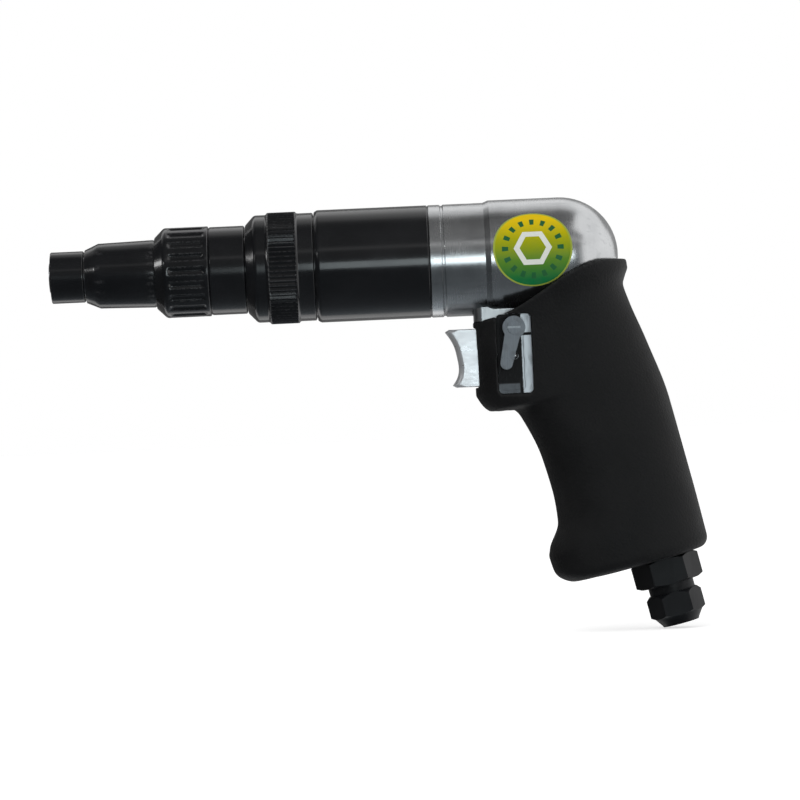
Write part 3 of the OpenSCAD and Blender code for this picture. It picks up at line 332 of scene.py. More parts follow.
fade_stops = [(0.0, (0.002, 0.16, 0.045)), (0.32, (0.1, 0.24, 0.014)),
              (0.64, (0.38, 0.39, 0.001)), (1.0, (0.82, 0.56, 0.0004))]
fade_half = 0.4
wedge_count = 16
wedge_half_turn = math.pi / 40
wedge_inner, wedge_outer = 0.62, 0.78
hexagon_inner, hexagon_outer = 0.29, 0.42
hexagon_half_turn = math.pi / 6
border_inner = 0.955
wedge_green = (0.015, 0.12, 0.04)
hexagon_white = (0.78, 0.80, 0.74)
border_lime = (0.35, 0.42, 0.06)
badge_print, tree, shader = bare_finish("badge_print_vinyl", Specular_IOR_Level=0.12)
print_at = put(tree, "ShaderNodeUVMap", uv_map="flat").outputs[0]
centred = put(tree, "ShaderNodeVectorMath", {0: print_at, 1: (0.5, 0.5, 0)}, operation="SUBTRACT").outputs[0]
apart = put(tree, "ShaderNodeSeparateXYZ", {0: centred}).outputs
reach = put(tree, "ShaderNodeVectorMath", {0: centred}, operation="LENGTH").outputs["Value"]
radius = reckon(tree, "MULTIPLY", reach, 2.0)
angle = reckon(tree, "ARCTAN2", apart[1], apart[0])
sector = reckon(tree, "PINGPONG", angle, hexagon_half_turn)
sector = reckon(tree, "SUBTRACT", sector, hexagon_half_turn)
hexagon_r = reckon(tree, "MULTIPLY", radius, reckon(tree, "COSINE", sector))
field = graded(tree, spread(tree, apart[1], -fade_half, fade_half, 0, 1), fade_stops)
wedge = reckon(tree, "LESS_THAN", reckon(tree, "PINGPONG", angle, math.pi / wedge_count), wedge_half_turn)
band = reckon(tree, "MULTIPLY", reckon(tree, "GREATER_THAN", radius, wedge_inner),
              reckon(tree, "LESS_THAN", radius, wedge_outer))
field = tint(tree, reckon(tree, "MULTIPLY", wedge, band), field, wedge_green)
outer_hex = reckon(tree, "LESS_THAN", hexagon_r, hexagon_outer)
inner_hex = reckon(tree, "LESS_THAN", hexagon_r, hexagon_inner)
field = tint(tree, reckon(tree, "SUBTRACT", outer_hex, inner_hex), field, hexagon_white)
field = tint(tree, reckon(tree, "GREATER_THAN", radius, border_inner), field, border_lime)
aged = spread(tree, speckle(tree, 3 * MM), 0.35, 0.65, 0, 0.06)
feed(tree, shader, Base_Color=tint(tree, aged, field, (0.2, 0.2, 0.1)),
     Roughness=spread(tree, speckle(tree, 1.5 * MM), 0.3, 0.7, 0.28, 0.42))
relief(tree, shader, speckle(tree, 0.6 * MM), 0.01 * MM, 0.25)
badge = settled("badge_film", badge_mesh, badge_print)
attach(badge, "housing")
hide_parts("badge")

# Clutch housing: the long black tube round the gears and the clutch.
# Turned steel with a smooth glossy black finish; screwed to the motor housing and to the coupling nut.
# Its edges are broken by small rounds, where the black has rubbed thin.
round_steps = (0, 0.25, 0.5, 0.75, 1)
row_beside_round = 1.2
row_on_flat = 3
long_flat = 8


def turned(name, section, sides, rows=()):
    path = []
    for i, (x, r, soft) in enumerate(section):
        here = Vector((x, r))
        back = Vector(section[i - 1][:2]) - here
        ahead = Vector(section[(i + 1) % len(section)][:2]) - here
        reach = min(soft, back.length * 0.4, ahead.length * 0.4)
        if not reach:
            path.append(here)
            continue
        inward, onward = back.normalized() * reach, ahead.normalized() * reach
        first, last = here + inward, here + onward
        if back.length > long_flat * reach:
            path.append(here + inward * row_on_flat)
        path.append(here + inward * row_beside_round)
        path += [first * (1 - t) ** 2 + here * 2 * t * (1 - t) + last * t * t for t in round_steps]
        path.append(here + onward * row_beside_round)
        if ahead.length > long_flat * reach:
            path.append(here + onward * row_on_flat)
    filled = []
    for here, ahead in zip(path, path[1:] + path[:1]):
        filled.append(here)
        filled += [here.lerp(ahead, (x - here.x) / (ahead.x - here.x)) for x in rows
                   if here.x < x < ahead.x and min(here.y, ahead.y) > section[0][1]]
    shape = bmesh.new()
    turns = [2 * math.pi * k / sides for k in range(sides)]
    rings = [[shape.verts.new((x * MM, r * MM * math.sin(t), r * MM * math.cos(t))) for t in turns]
             for x, r in filled]
    for ring, other in zip(rings, rings[1:] + rings[:1]):
        for k in range(sides):
            n = (k + 1) % sides
            shape.faces.new((ring[k], ring[n], other[n], other[k]))
    bmesh.ops.recalc_face_normals(shape, faces=shape.faces)
    mesh = bpy.data.meshes.new(name)
    shape.to_mesh(mesh)
    shape.free()
    return mesh


def attribute(tree, name):
    return put(tree, "ShaderNodeAttribute", attribute_name=name).outputs["Fac"]


def black_finish(name, rough, thin, **fixed):
    finish, tree, shader = bare_finish(name, **fixed)
    rub = patches(tree, 1.1 * MM, 0.42, 0.62, detail=5.0)
    bare = reckon(tree, "MULTIPLY", reckon(tree, "MULTIPLY", attribute(tree, "edge"), rub), thin)
    cloud = patches(tree, 14 * MM)
    black = tint(tree, cloud, (0.004, 0.0045, 0.0055), (0.007, 0.0075, 0.009))
    rings = speckle(tree, 0.3 * MM, (1, 0.015, 0.015), 4.0)
    haze = reckon(tree, "ADD", spread(tree, cloud, 0, 1, rough, rough * 1.4),
                  spread(tree, rings, 0.3, 0.7, -0.02, 0.03))
    feed(tree, shader, Base_Color=tint(tree, bare, black, (0.16, 0.16, 0.165)), Metallic=bare, Roughness=haze)
    relief(tree, shader, rings, 0.008 * MM, 0.4)
    return finish


gloss_black = black_finish("gloss_black_steel", 0.15, 0.25, Coat_Weight=0.25, Coat_Roughness=0.06)
case_section = [(84.0, 17.4, 0), (84.0, 18.9, 0), (98.5, 18.9, 0), (98.5, 20.0, 0.5), (99.7, 20.8, 0.5),
                (140.1, 20.8, 0.25), (140.5, 20.4, 0.2), (140.5, 19.0, 0), (147.0, 19.0, 0), (147.0, 17.4, 0)]
clutch_housing = settled("clutch_housing_tube", turned("clutch_housing_tube", case_section, 192), gloss_black)
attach(clutch_housing, "housing")
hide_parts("clutch_housing")

# Nose housing: the stepped tube that carries the spindle's front bush and the clutch spring.
# Turned steel, black like the barrel; its flange is held by the coupling nut.
# Only its front cone and collar show; the three slots for the adjusting pins are under the adjusting sleeve.
flat_within = math.radians(0.4)
edge_from = math.radians(35)


def plain_mesh(name, carrier):
    seen = carrier.evaluated_get(bpy.context.evaluated_depsgraph_get())
    plain = bpy.data.meshes.new_from_object(seen)
    carrier.modifiers.clear()
    bpy.data.objects.remove(carrier)
    plain.name = name
    return plain


def modified(name, mesh, kind, **settings):
    carrier = placed(name, mesh)
    step = carrier.modifiers.new(kind, kind)
    for key, value in settings.items():
        setattr(step, key, value)
    return plain_mesh(name, carrier)


def eased_copy(node, name, width, finish, wide=None, change=None):
    shape = bmesh.new()
    shape.from_mesh(merged_copy(node))
    if change:
        change(shape)
    bmesh.ops.dissolve_limit(shape, angle_limit=flat_within, verts=shape.verts, edges=shape.edges)
    soft = shape.edges.layers.float.new("bevel_weight_edge")
    widest = max(width, wide[0]) if wide else width
    for line in shape.edges:
        if len(line.link_faces) == 2 and line.calc_face_angle(0.0) > edge_from:
            line[soft] = (wide[0] if wide and wide[1](line) else width) / widest
    mesh = bpy.data.meshes.new(name)
    shape.to_mesh(mesh)
    shape.free()
    mesh = modified(name, mesh, "BEVEL", width=widest * MM, segments=4, limit_method="WEIGHT",
                    use_clamp_overlap=not wide)
    piece = settled(name, mesh, finish)
    piece.data = modified(name, mesh, "WEIGHTED_NORMAL", keep_sharp=True)
    return piece


nose_housing = eased_copy("nose_housing", "nose_housing_turned", 0.2, gloss_black)
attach(nose_housing, "housing")
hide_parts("nose_housing")

# Adjusting sleeve: the ring that is turned by hand to set the torque.
# Turned steel with milled finger flutes on its front half, a smooth rear half, black all over.
# It turns on the nose housing, and its inner thread moves the nut whose pins push the spring seat.


def grown(name, mesh, tree, finish, sizes):
    carrier = placed(name, mesh)
    grower = carrier.modifiers.new("grow", "NODES")
    grower.node_group = tree
    for item in tree.interface.items_tree:
        if item.in_out == "INPUT" and item.name in sizes:
            grower[item.identifier] = sizes[item.name]
        if item.in_out == "INPUT" and item.name == "Finish":
            grower[item.identifier] = finish
    return plain_mesh(name, carrier)


def tree_of(name, **inputs):
    tree = bpy.data.node_groups.new(name, "GeometryNodeTree")
    tree.interface.new_socket("Geometry", in_out="INPUT", socket_type="NodeSocketGeometry")
    for label, kind in inputs.items():
        tree.interface.new_socket(label.replace("_", " "), in_out="INPUT", socket_type="NodeSocket" + kind)
    tree.interface.new_socket("Finish", in_out="INPUT", socket_type="NodeSocketMaterial")
    tree.interface.new_socket("Geometry", in_out="OUTPUT", socket_type="NodeSocketGeometry")
    return tree, put(tree, "NodeGroupInput").outputs


def closed_tree(tree, asked, made):
    whole = put(tree, "GeometryNodeRealizeInstances", {0: made}).outputs[0]
    dressed = put(tree, "GeometryNodeSetMaterial", {"Geometry": whole, "Material": asked["Finish"]})
    put(tree, "NodeGroupOutput", {0: dressed.outputs[0]})
    return tree


def run_in(tree, x, start, full):
    eased = put(tree, "ShaderNodeMapRange", {0: x, 1: start, 2: full}, interpolation_type="SMOOTHSTEP")
    return eased.outputs[0]


def cut_round_axis(name, tooth):
    tree, asked = tree_of(name, Count="Int", Start="Float", End="Float", Run_out="Float",
                          Near="Float", Far="Float")
    start, end, run_out = asked["Start"], asked["End"], asked["Run out"]
    xyz = put(tree, "ShaderNodeSeparateXYZ", {0: put(tree, "GeometryNodeInputPosition").outputs[0]}).outputs
    radius = off_axis(tree, xyz)
    step = reckon(tree, "DIVIDE", 2 * math.pi, asked["Count"])
    place = reckon(tree, "DIVIDE", reckon(tree, "ARCTAN2", xyz[1], xyz[2]), step)
    off = reckon(tree, "SUBTRACT", place, reckon(tree, "ROUND", place))
    floor = tooth(tree, asked, off, step)
    depth = reckon(tree, "MAXIMUM", reckon(tree, "SUBTRACT", radius, floor), 0.0)
    lead_in = run_in(tree, xyz[0], start, reckon(tree, "ADD", start, run_out))
    lead_out = run_in(tree, xyz[0], end, reckon(tree, "SUBTRACT", end, run_out))
    depth = reckon(tree, "MULTIPLY", depth, reckon(tree, "MULTIPLY", lead_in, lead_out))
    share = reckon(tree, "MULTIPLY", reckon(tree, "DIVIDE", depth, radius), -1.0)
    inward = put(tree, "ShaderNodeCombineXYZ", {1: reckon(tree, "MULTIPLY", xyz[1], share),
                                                2: reckon(tree, "MULTIPLY", xyz[2], share)}).outputs[0]
    moved = put(tree, "GeometryNodeSetPosition", {"Geometry": asked["Geometry"], "Offset": inward}).outputs[0]
    return closed_tree(tree, asked, moved)


def round_flute(tree, asked, off, step):
    turn = reckon(tree, "MULTIPLY", off, step)
    side = reckon(tree, "MULTIPLY", asked["Far"], reckon(tree, "SINE", turn))
    room = reckon(tree, "SUBTRACT", reckon(tree, "MULTIPLY", asked["Near"], asked["Near"]),
                  reckon(tree, "MULTIPLY", side, side))
    reach = reckon(tree, "SQRT", reckon(tree, "MAXIMUM", room, 0.0))
    ahead = reckon(tree, "MULTIPLY", asked["Far"], reckon(tree, "COSINE", turn))
    floor = reckon(tree, "SUBTRACT", ahead, reach)
    return reckon(tree, "ADD", floor, reckon(tree, "LESS_THAN", room, 0.0))


def stepped(start, step, count):
    return [start + step * i for i in range(count)]


flute_tree = cut_round_axis("finger_flutes", round_flute)
sleeve_section = [
    (39.3, 12.36, 0), (39.3, 13.1, 0.3), (42.5, 16.25, 0.5), (43.3, 16.65, 0.5), (59.1, 16.65, 0.3),
    (59.5, 15.9, 0.1), (59.9, 16.3, 0.25), (72.3, 16.3, 0.3), (72.7, 15.9, 0.2), (72.7, 12.36, 0),
    (54.8, 12.36, 0), (54.8, 15.15, 0), (42.3, 15.15, 0), (42.3, 12.36, 0)]
flute_rows = stepped(43.9, 0.22, 11) + stepped(46.6, 1, 10) + stepped(56.1, 0.22, 12)
sleeve_mesh = turned("adjust_sleeve_fluted", sleeve_section, 400, flute_rows)
sleeve_mesh = grown("adjust_sleeve_fluted", sleeve_mesh, flute_tree, gloss_black, {
    "Count": 20, "Start": 44.0 * MM, "End": 58.3 * MM, "Run out": 1.8 * MM,
    "Near": 1.8 * MM, "Far": 17.75 * MM})
adjust_sleeve = settled("adjust_sleeve_fluted", sleeve_mesh, gloss_black)
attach(adjust_sleeve, "adjuster")
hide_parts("adjust_sleeve")

# Coupling nut: the ring that draws the nose housing on to the clutch housing.
# Turned steel, black, with a straight rolled knurl round its middle and a coned front.
# It is screwed on to the clutch housing's front thread by hand.


def straight_tooth(tree, asked, off, step):
    share = reckon(tree, "MULTIPLY", reckon(tree, "ABSOLUTE", off), 2.0)
    fall = reckon(tree, "MULTIPLY", reckon(tree, "SUBTRACT", asked["Far"], asked["Near"]), share)
    return reckon(tree, "SUBTRACT", asked["Far"], fall)


knurl_tree = cut_round_axis("straight_knurl", straight_tooth)
nut_section = [
    (73.0, 12.6, 0), (73.0, 16.25, 0.3), (76.0, 19.45, 0.5), (76.8, 19.85, 0.5), (80.5, 19.85, 0.2),
    (80.9, 20.15, 0), (81.3, 20.64, 0.15), (91.6, 20.64, 0.15), (92.0, 20.15, 0), (92.4, 19.95, 0.1),
    (97.8, 19.95, 0.3), (98.2, 19.55, 0.2), (98.2, 18.95, 0), (75.9, 18.95, 0), (75.9, 12.6, 0)]
knurl_rows = stepped(81.6, 0.15, 6) + stepped(83, 1, 8) + stepped(90.6, 0.15, 7)
nut_mesh = turned("coupling_nut_knurled", nut_section, 576, knurl_rows)
nut_mesh = grown("coupling_nut_knurled", nut_mesh, knurl_tree, gloss_black, {
    "Count": 72, "Start": 81.2 * MM, "End": 91.7 * MM, "Run out": 0.6 * MM,
    "Near": 20.1 * MM, "Far": 20.65 * MM})
coupling_nut = settled("coupling_nut_knurled", nut_mesh, gloss_black)
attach(coupling_nut, "housing")
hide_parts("coupling_nut")

# Bit sleeve: the collar at the tip that is pulled forward to free a screwdriver bit.
# Turned steel, black, well rounded in front; a spring behind the circlip holds it back.
bit_section = [
    (13.0, 9.1, 0.2), (12.6, 9.5, 0.25), (0.6, 9.5, 1.1), (0.6, 8.4, 0), (1.0, 8.0, 0),
    (7.5, 8.0, 0), (7.5, 6.06, 0), (10.3, 6.06, 0), (10.3, 6.9, 0), (13.0, 6.9, 0)]
bit_sleeve = settled("bit_sleeve_collar", turned("bit_sleeve_collar", bit_section, 160), gloss_black)
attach(bit_sleeve, "sleeve")
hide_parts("bit_sleeve")

# Springs: the bit sleeve's, the clutch's and the throttle valve's, each between a still and a moving end.
# Wound from round spring wire; each rides its body as the frame places it.
spring_runs = (
    ("sleeve_spring", "output", "sleeve_slide", 1.8, 7.34, 2.5),
    ("clutch_spring", "output", "adjust_slide", 93.8, 49.88, 3.0),
    ("valve_spring", "housing", "trigger_pull", 207.9, 193.76, 6.0),
)
for node, body, joint, still_x, free_x, travel in spring_runs:
    spring = settled(node + "_wound", merged_copy(node), works["spring_steel"])
    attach(spring, body)
    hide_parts(node)
    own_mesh(spring)

# Rubber grip: the moulded sleeve over the handle core, with a hook under the trigger and a flared foot.
# Black rubber with a fine stipple from its mould, stretched on to the core and up the barrel's flanks.
# The curves are the handle's own outline: front edge, back edge and half width down the handle.
handle_x = 196.0
handle_tilt = math.radians(13)
grip_top = -10
grip_l = 116.0
grip_face_x = 155.6
hook_top = 40.2
foot_round = 4.0
grip_front = [(hook_top, -50.74), (44.2, -49.34), (47.2, -46.94), (49, -38.4), (52.2, -36.7), (69.2, -33.3),
              (81.2, -32.9), (93, -34), (104.7, -40.6), (110, -40.3), (grip_l, -37.2)]
grip_back = [(grip_top, 13), (2, 15.1), (8.3, 16.2), (12, 14.1), (15, 12.6), (22, 13.2), (36.5, 15.4),
             (60, 17.9), (91, 18), (grip_l, 17.7)]
grip_half = [(grip_top, 23.5), (2, 23.1), (8, 21.4), (14, 19.3), (20, 18.2), (30, 17.6), (62, 18),
             (84, 17.5), (104, 18.7), (grip_l, 18.5)]
squareness = 2.7
skin_from, skin_full, skin_past = 0.93, 0.965, 1.06
flank_top, flank_end = 32, 60
flank_side = 13
flank_front = -17
flank_passes = 60


def along(points, t):
    i = 0
    while i < len(points) - 2 and t > points[i + 1][0]:
        i += 1

    def rise(k):
        return (points[k + 1][1] - points[k][1]) / (points[k + 1][0] - points[k][0])

    def lean(k):
        if k == 0:
            return rise(0)
        if k == len(points) - 1:
            return rise(k - 1)
        before, after = rise(k - 1), rise(k)
        return 0.0 if before * after <= 0 else 2 * before * after / (before + after)

    (t0, v0), (t1, v1) = points[i], points[i + 1]
    h = t1 - t0
    u = (t - t0) / h
    return ((1 + 2 * u) * (1 - u) ** 2 * v0 + u * (1 - u) ** 2 * h * lean(i)
            + u * u * (3 - 2 * u) * v1 + u * u * (u - 1) * h * lean(i + 1))


def on_handle(corner):
    x, y, z = corner.co / MM
    back = (x - handle_x) * math.cos(handle_tilt) + z * math.sin(handle_tilt)
    down = (x - handle_x) * math.sin(handle_tilt) - z * math.cos(handle_tilt)
    return back, y, down


rubber, tree, shader = bare_finish("moulded_rubber", Specular_IOR_Level=0.32)
dust = patches(tree, 18 * MM, 0.35, 0.7, detail=5.0)
place = put(tree, "ShaderNodeTexCoord").outputs["Object"]
stipple = put(tree, "ShaderNodeTexVoronoi", {"Vector": place, "Scale": 1 / (0.75 * MM), "Smoothness": 0.6},
              feature="SMOOTH_F1").outputs[0]
handled = reckon(tree, "MULTIPLY", attribute(tree, "edge"), 0.6)
black = tint(tree, dust, (0.0045, 0.0046, 0.005), (0.0088, 0.0089, 0.0094))
dull = reckon(tree, "SUBTRACT", spread(tree, dust, 0, 1, 0.56, 0.7), reckon(tree, "MULTIPLY", handled, 0.1))
feed(tree, shader, Base_Color=tint(tree, handled, black, (0.02, 0.02, 0.0205)), Roughness=dull)
grain = reckon(tree, "ADD", stipple, reckon(tree, "MULTIPLY", speckle(tree, 0.25 * MM), 0.5))
relief(tree, shader, grain, 0.16 * MM, 0.8)

grip_mesh = merged_copy("rubber_grip")
grip_mesh = modified("rubber_grip_moulded", grip_mesh, "REMESH", mode="VOXEL", voxel_size=0.65 * MM)
for corner in grip_mesh.vertices:
    w, y, s = on_handle(corner)
    if not grip_top < s < grip_l:
        continue
    into = max(0.0, s - grip_l + foot_round)
    inset = foot_round - math.sqrt(max(0.0, foot_round ** 2 - into ** 2))
    upright_face = (grip_face_x - handle_x - s * math.sin(handle_tilt)) / math.cos(handle_tilt)
    front = (upright_face if s < hook_top else along(grip_front, s)) + inset
    back = along(grip_back, s) - inset
    half = along(grip_half, s) - inset
    middle, deep = (front + back) / 2, (back - front) / 2
    fill = abs((w - middle) / deep) ** squareness + abs(y / half) ** squareness
    hold = max(0.0, min(1.0, (fill - skin_from) / (skin_full - skin_from)))
    if hold and fill < skin_past:
        grow = 1 + hold * (fill ** (-1 / squareness) - 1)
        w, y = middle + (w - middle) * grow, y * grow
        x = handle_x + s * math.sin(handle_tilt) + w * math.cos(handle_tilt)
        z = -s * math.cos(handle_tilt) + w * math.sin(handle_tilt)
        corner.co = Vector((x, y, z)) * MM
shape = bmesh.new()
shape.from_mesh(grip_mesh)
flank = []
for corner in shape.verts:
    w, y, s = on_handle(corner)
    if flank_top < s < flank_end and abs(y) > flank_side and w > flank_front:
        flank.append(corner)
for k in range(flank_passes):
    bmesh.ops.smooth_vert(shape, verts=flank, factor=0.5, use_axis_x=True, use_axis_y=True, use_axis_z=True)
shape.to_mesh(grip_mesh)
shape.free()
grip_mesh = modified("rubber_grip_moulded", grip_mesh, "SMOOTH", factor=0.5, iterations=5)
rubber_grip = settled("rubber_grip_moulded", grip_mesh, rubber, 60)
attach(rubber_grip, "housing")
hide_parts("rubber_grip")

# Trigger: the bright hollowed lever that the forefinger pulls.
# Plated steel with softly broken edges, pinned to the valve stem and guided in the housing's pocket.
# Its finger face leans forward towards the top, where the frame's own trigger stands upright.
bright_plate, tree, shader = bare_finish("bright_plating", Metallic=0.7)
veil = patches(tree, 5 * MM)
brush = speckle(tree, 0.5 * MM, (0.15, 1, 1), 5.0)
gloss = reckon(tree, "ADD", spread(tree, veil, 0, 1, 0.27, 0.34), spread(tree, brush, 0.3, 0.7, -0.03, 0.05))
feed(tree, shader, Base_Color=tint(tree, veil, (0.66, 0.67, 0.69), (0.76, 0.77, 0.79)), Roughness=gloss)
relief(tree, shader, brush, 0.01 * MM, 0.3)

trigger_low, trigger_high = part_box("trigger")
trigger_middle = (trigger_low + trigger_high) / 2
finger_reach = trigger_low.x + 5.5 * MM
finger_lean = 2.1 * MM
lean_from = -0.8


def leaned(shape):
    for corner in shape.verts:
        if corner.co.x < finger_reach:
            height = (corner.co.z - trigger_middle.z) / (trigger_high.z - trigger_middle.z)
            rise = max(0.0, min(1.0, height - lean_from))
            corner.co.x -= finger_lean * rise * rise * (3 - 2 * rise)


def finger_edge(line):
    ends = [corner.co for corner in line.verts]
    return max(e.x for e in ends) < finger_reach and abs(ends[0].y - ends[1].y) < 0.01 * MM


trigger = eased_copy("trigger", "trigger_plated", 0.3, bright_plate, (2.0, finger_edge), leaned)
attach(trigger, "trigger_group")
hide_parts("trigger")

# Reverse plate, lever and screw: the small valve lever in the grip's window, for tightening or loosening.
# A pressed plate, coloured dark but for lighter metal lands at its rear and foot, tucked under the window's
# edge.
# The plated lever sits on the spool's end, held by its slotted screw.
plate_low, plate_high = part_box("reverse_plate")
plate_tuck = 0.5 * MM
land_x = plate_high.x - 3.4 * MM
land_break = plate_high.z - 7.2 * MM
land_gap = 0.5 * MM
foot_z = plate_low.z + 3.6 * MM
plate_dark, tree, shader = bare_finish("dark_floored_plate", Specular_IOR_Level=0.15)
xyz = object_xyz(tree)
from_break = reckon(tree, "ABSOLUTE", reckon(tree, "SUBTRACT", xyz[2], land_break))
off_break = reckon(tree, "GREATER_THAN", from_break, land_gap)
ragged_land_edge = reckon(tree, "ADD", xyz[0], reckon(tree, "MULTIPLY", speckle(tree, 0.8 * MM), 0.5 * MM))
land = reckon(tree, "MULTIPLY", spread(tree, ragged_land_edge, land_x, land_x + 0.3 * MM, 0, 1), off_break)
foot = reckon(tree, "MULTIPLY", spread(tree, xyz[2], foot_z - 0.6 * MM, foot_z, 1, 0),
              spread(tree, ragged_land_edge, land_x - 1.2 * MM, land_x - 0.8 * MM, 1, 0))
scuff = patches(tree, 0.9 * MM, 0.5, 0.7, (1, 1, 0.3), 5.0)
# The plate's floor is coloured dark, with lighter metal on the rear land and on the foot.
dark_floor = tint(tree, reckon(tree, "MULTIPLY", scuff, 0.25), (0.007, 0.007, 0.008), (0.05, 0.05, 0.052))
floor_and_foot = tint(tree, foot, dark_floor, (0.13, 0.136, 0.146))
dull = reckon(tree, "ADD", spread(tree, land, 0, 1, 0.42, 0.36), reckon(tree, "MULTIPLY", scuff, 0.08))
feed(tree, shader, Base_Color=tint(tree, land, floor_and_foot, (0.46, 0.475, 0.5)),
     Metallic=reckon(tree, "MAXIMUM", land, foot), Roughness=dull)
relief(tree, shader, reckon(tree, "ADD", off_break, reckon(tree, "MULTIPLY", scuff, 0.1)), 0.15 * MM, 0.6)

dull_nickel, tree, shader = bare_finish("dull_nickel", Metallic=1.0)
brushed = patches(tree, 0.7 * MM, 0.3, 0.7, (1, 1, 0.12), 5.0)
grime = reckon(tree, "MULTIPLY", patches(tree, 3 * MM, 0.5, 0.68), 0.4)
nickel = tint(tree, brushed, (0.1, 0.106, 0.116), (0.17, 0.177, 0.19))
# Painted highlight: the rounded edges of the lever and its screw are coloured lighter.
nickel = tint(tree, attribute(tree, "edge"), nickel, (0.6, 0.62, 0.64))
feed(tree, shader, Base_Color=tint(tree, grime, nickel, (0.08, 0.08, 0.085)),
     Roughness=spread(tree, brushed, 0, 1, 0.3, 0.4))
relief(tree, shader, brushed, 0.01 * MM, 0.4)
lever_pieces = (
    ("reverse_plate", "reverse_plate_pressed", "housing", 0.25, plate_dark),
    ("reverse_lever", "reverse_lever_plated", "reverse_group", 0.8, dull_nickel),
    ("lever_screw", "lever_screw_slotted", "reverse_group", 0.15, dull_nickel),
)
for node, name, body, width, finish in lever_pieces:
    piece = eased_copy(node, name, width, finish)
    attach(piece, body)
    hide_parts(node)
    if node == "reverse_plate":
        middle, size = (plate_low + plate_high) / 2, plate_high - plate_low
        spread_out = Matrix.Diagonal((1 + plate_tuck / size.x, 1, 1 + plate_tuck / size.z, 1))
        piece.data.transform(Matrix.Translation(middle) @ spread_out @ Matrix.Translation(-middle))

# Inlet: the exhaust cover at the handle's foot, the hexagon bushing and the hexagon air adaptor.
# A slotted plastic cover held by the bushing, and two satin black steel fittings with spanner flats.
# The adaptor's mouth is threaded inside for an air coupling.
satin_black = black_finish("satin_black_steel", 0.34, 0.5, Specular_IOR_Level=0.2)
cover_black, tree, shader = bare_finish("moulded_cover", Specular_IOR_Level=0.4)
haze = patches(tree, 4 * MM)
feed(tree, shader, Base_Color=tint(tree, haze, (0.009, 0.009, 0.01), (0.016, 0.016, 0.017)),
     Roughness=spread(tree, haze, 0, 1, 0.45, 0.6))
relief(tree, shader, speckle(tree, 0.3 * MM), 0.03 * MM, 0.5)
foot_pieces = (
    ("exhaust_cover", "exhaust_cover_moulded", 0.3, cover_black, "cover_plastic"),
    ("inlet_bushing", "inlet_bushing_hexagon", 0.25, satin_black, "black_fitting"),
)
for node, name, width, finish, slot in foot_pieces:
    piece = eased_copy(node, name, width, finish)
    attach(piece, "housing")
    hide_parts(node)

port_r = 5.72
port_root = 6.4
port_l = 12.0
port_end = 141.15
wall_slack = 0.03
floor_slack = 0.1
thread_pitch = 1.337
thread_depth = 0.62
thread_l = port_l - 3 * thread_pitch
handle_top = Vector((handle_x, 0, 0)) * MM
handle_way = Vector((math.sin(handle_tilt), 0, -math.cos(handle_tilt)))


def widened(shape):
    for corner in shape.verts:
        s = (corner.co - handle_top).dot(handle_way)
        out = corner.co - handle_top - handle_way * s
        if abs(out.length / MM - port_r) < wall_slack and s / MM > port_end - port_l - floor_slack:
            corner.co += out.normalized() * (port_root - port_r) * MM


tree, asked = tree_of("port_thread", Turns="Float", Root="Float", Depth="Float", Length="Float")
spiral = put(tree, "GeometryNodeCurveSpiral", {
    "Resolution": 60, "Rotations": asked["Turns"], "Start Radius": asked["Root"], "End Radius": asked["Root"],
    "Height": asked["Length"]}).outputs[0]
upright = put(tree, "GeometryNodeSetCurveNormal", {0: spiral}).outputs[0]
ridge = put(tree, "GeometryNodeCurvePrimitiveCircle", {"Resolution": 4, "Radius": asked["Depth"]},
            mode="RADIUS").outputs[0]
swept = put(tree, "GeometryNodeCurveToMesh", {"Curve": upright, "Profile Curve": ridge, "Fill Caps": True})
thread_tree = closed_tree(tree, asked, swept.outputs[0])
thread = grown("port_thread", bpy.data.meshes.new("port_thread"), thread_tree, satin_black, {
    "Turns": thread_l / thread_pitch, "Root": port_root * MM,
    "Depth": thread_depth * MM, "Length": thread_l * MM})
start = handle_top + handle_way * (port_end - thread_pitch) * MM
thread.transform(Matrix.Translation(start) @ Matrix.Rotation(-handle_tilt, 4, "Y"))
inlet_adaptor = eased_copy("inlet_adaptor", "inlet_adaptor_hexagon", 0.25, satin_black, change=widened)
shape = bmesh.new()
shape.from_mesh(inlet_adaptor.data)
shape.from_mesh(thread)
shape.to_mesh(inlet_adaptor.data)
shape.free()
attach(inlet_adaptor, "housing")
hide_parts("inlet_adaptor")

# Studio: a pale floor and a white surround, soft lamps and the camera of the photograph's view.
# Dark cards in front of the tool, behind it and at its nose are seen only in reflections.
scene = bpy.context.scene
scene.view_settings.view_transform = "Standard"

photo_px = 800
sensor = 36
roll = math.radians(2.55)
scale = 0.37 * MM
centre = Vector((127.4, 0, -50.7)) * MM
distance = 1.6
camera = placed("camera", bpy.data.cameras.new("camera"))
camera.data.sensor_width = sensor
camera.data.lens = sensor * distance / (photo_px * scale)
camera.data.clip_end = 20
right = Vector((math.cos(roll), 0, -math.sin(roll)))
up = Vector((math.sin(roll), 0, math.cos(roll)))
stand = Matrix.Translation(centre + Vector((0, -distance, 0)))
camera.matrix_world = stand @ Matrix((right, up, (0, -1, 0))).transposed().to_4x4()
scene.camera = camera

white = (1, 1, 1, 1)
world = bpy.data.worlds.new("white_surround")
world.use_nodes = True
scene.world = world
tree = world.node_tree
tree.nodes.clear()
path = put(tree, "ShaderNodeLightPath").outputs
seen = reckon(tree, "MAXIMUM", path["Is Camera Ray"], path["Is Glossy Ray"])
seen = reckon(tree, "MAXIMUM", seen, path["Is Transmission Ray"])
seen_white = put(tree, "ShaderNodeBackground", {0: white, 1: 1.0}).outputs[0]
plain_light = put(tree, "ShaderNodeBackground", {0: white, 1: 0.55}).outputs[0]
mixed = put(tree, "ShaderNodeMixShader", {0: seen, 1: plain_light, 2: seen_white}).outputs[0]
put(tree, "ShaderNodeOutputWorld", {0: mixed})


def sheet_of(name, corners, faces, finish):
    mesh = bpy.data.meshes.new(name)
    mesh.from_pydata(corners, [], faces)
    mesh.materials.append(finish)
    made = placed(name, mesh)
    return made


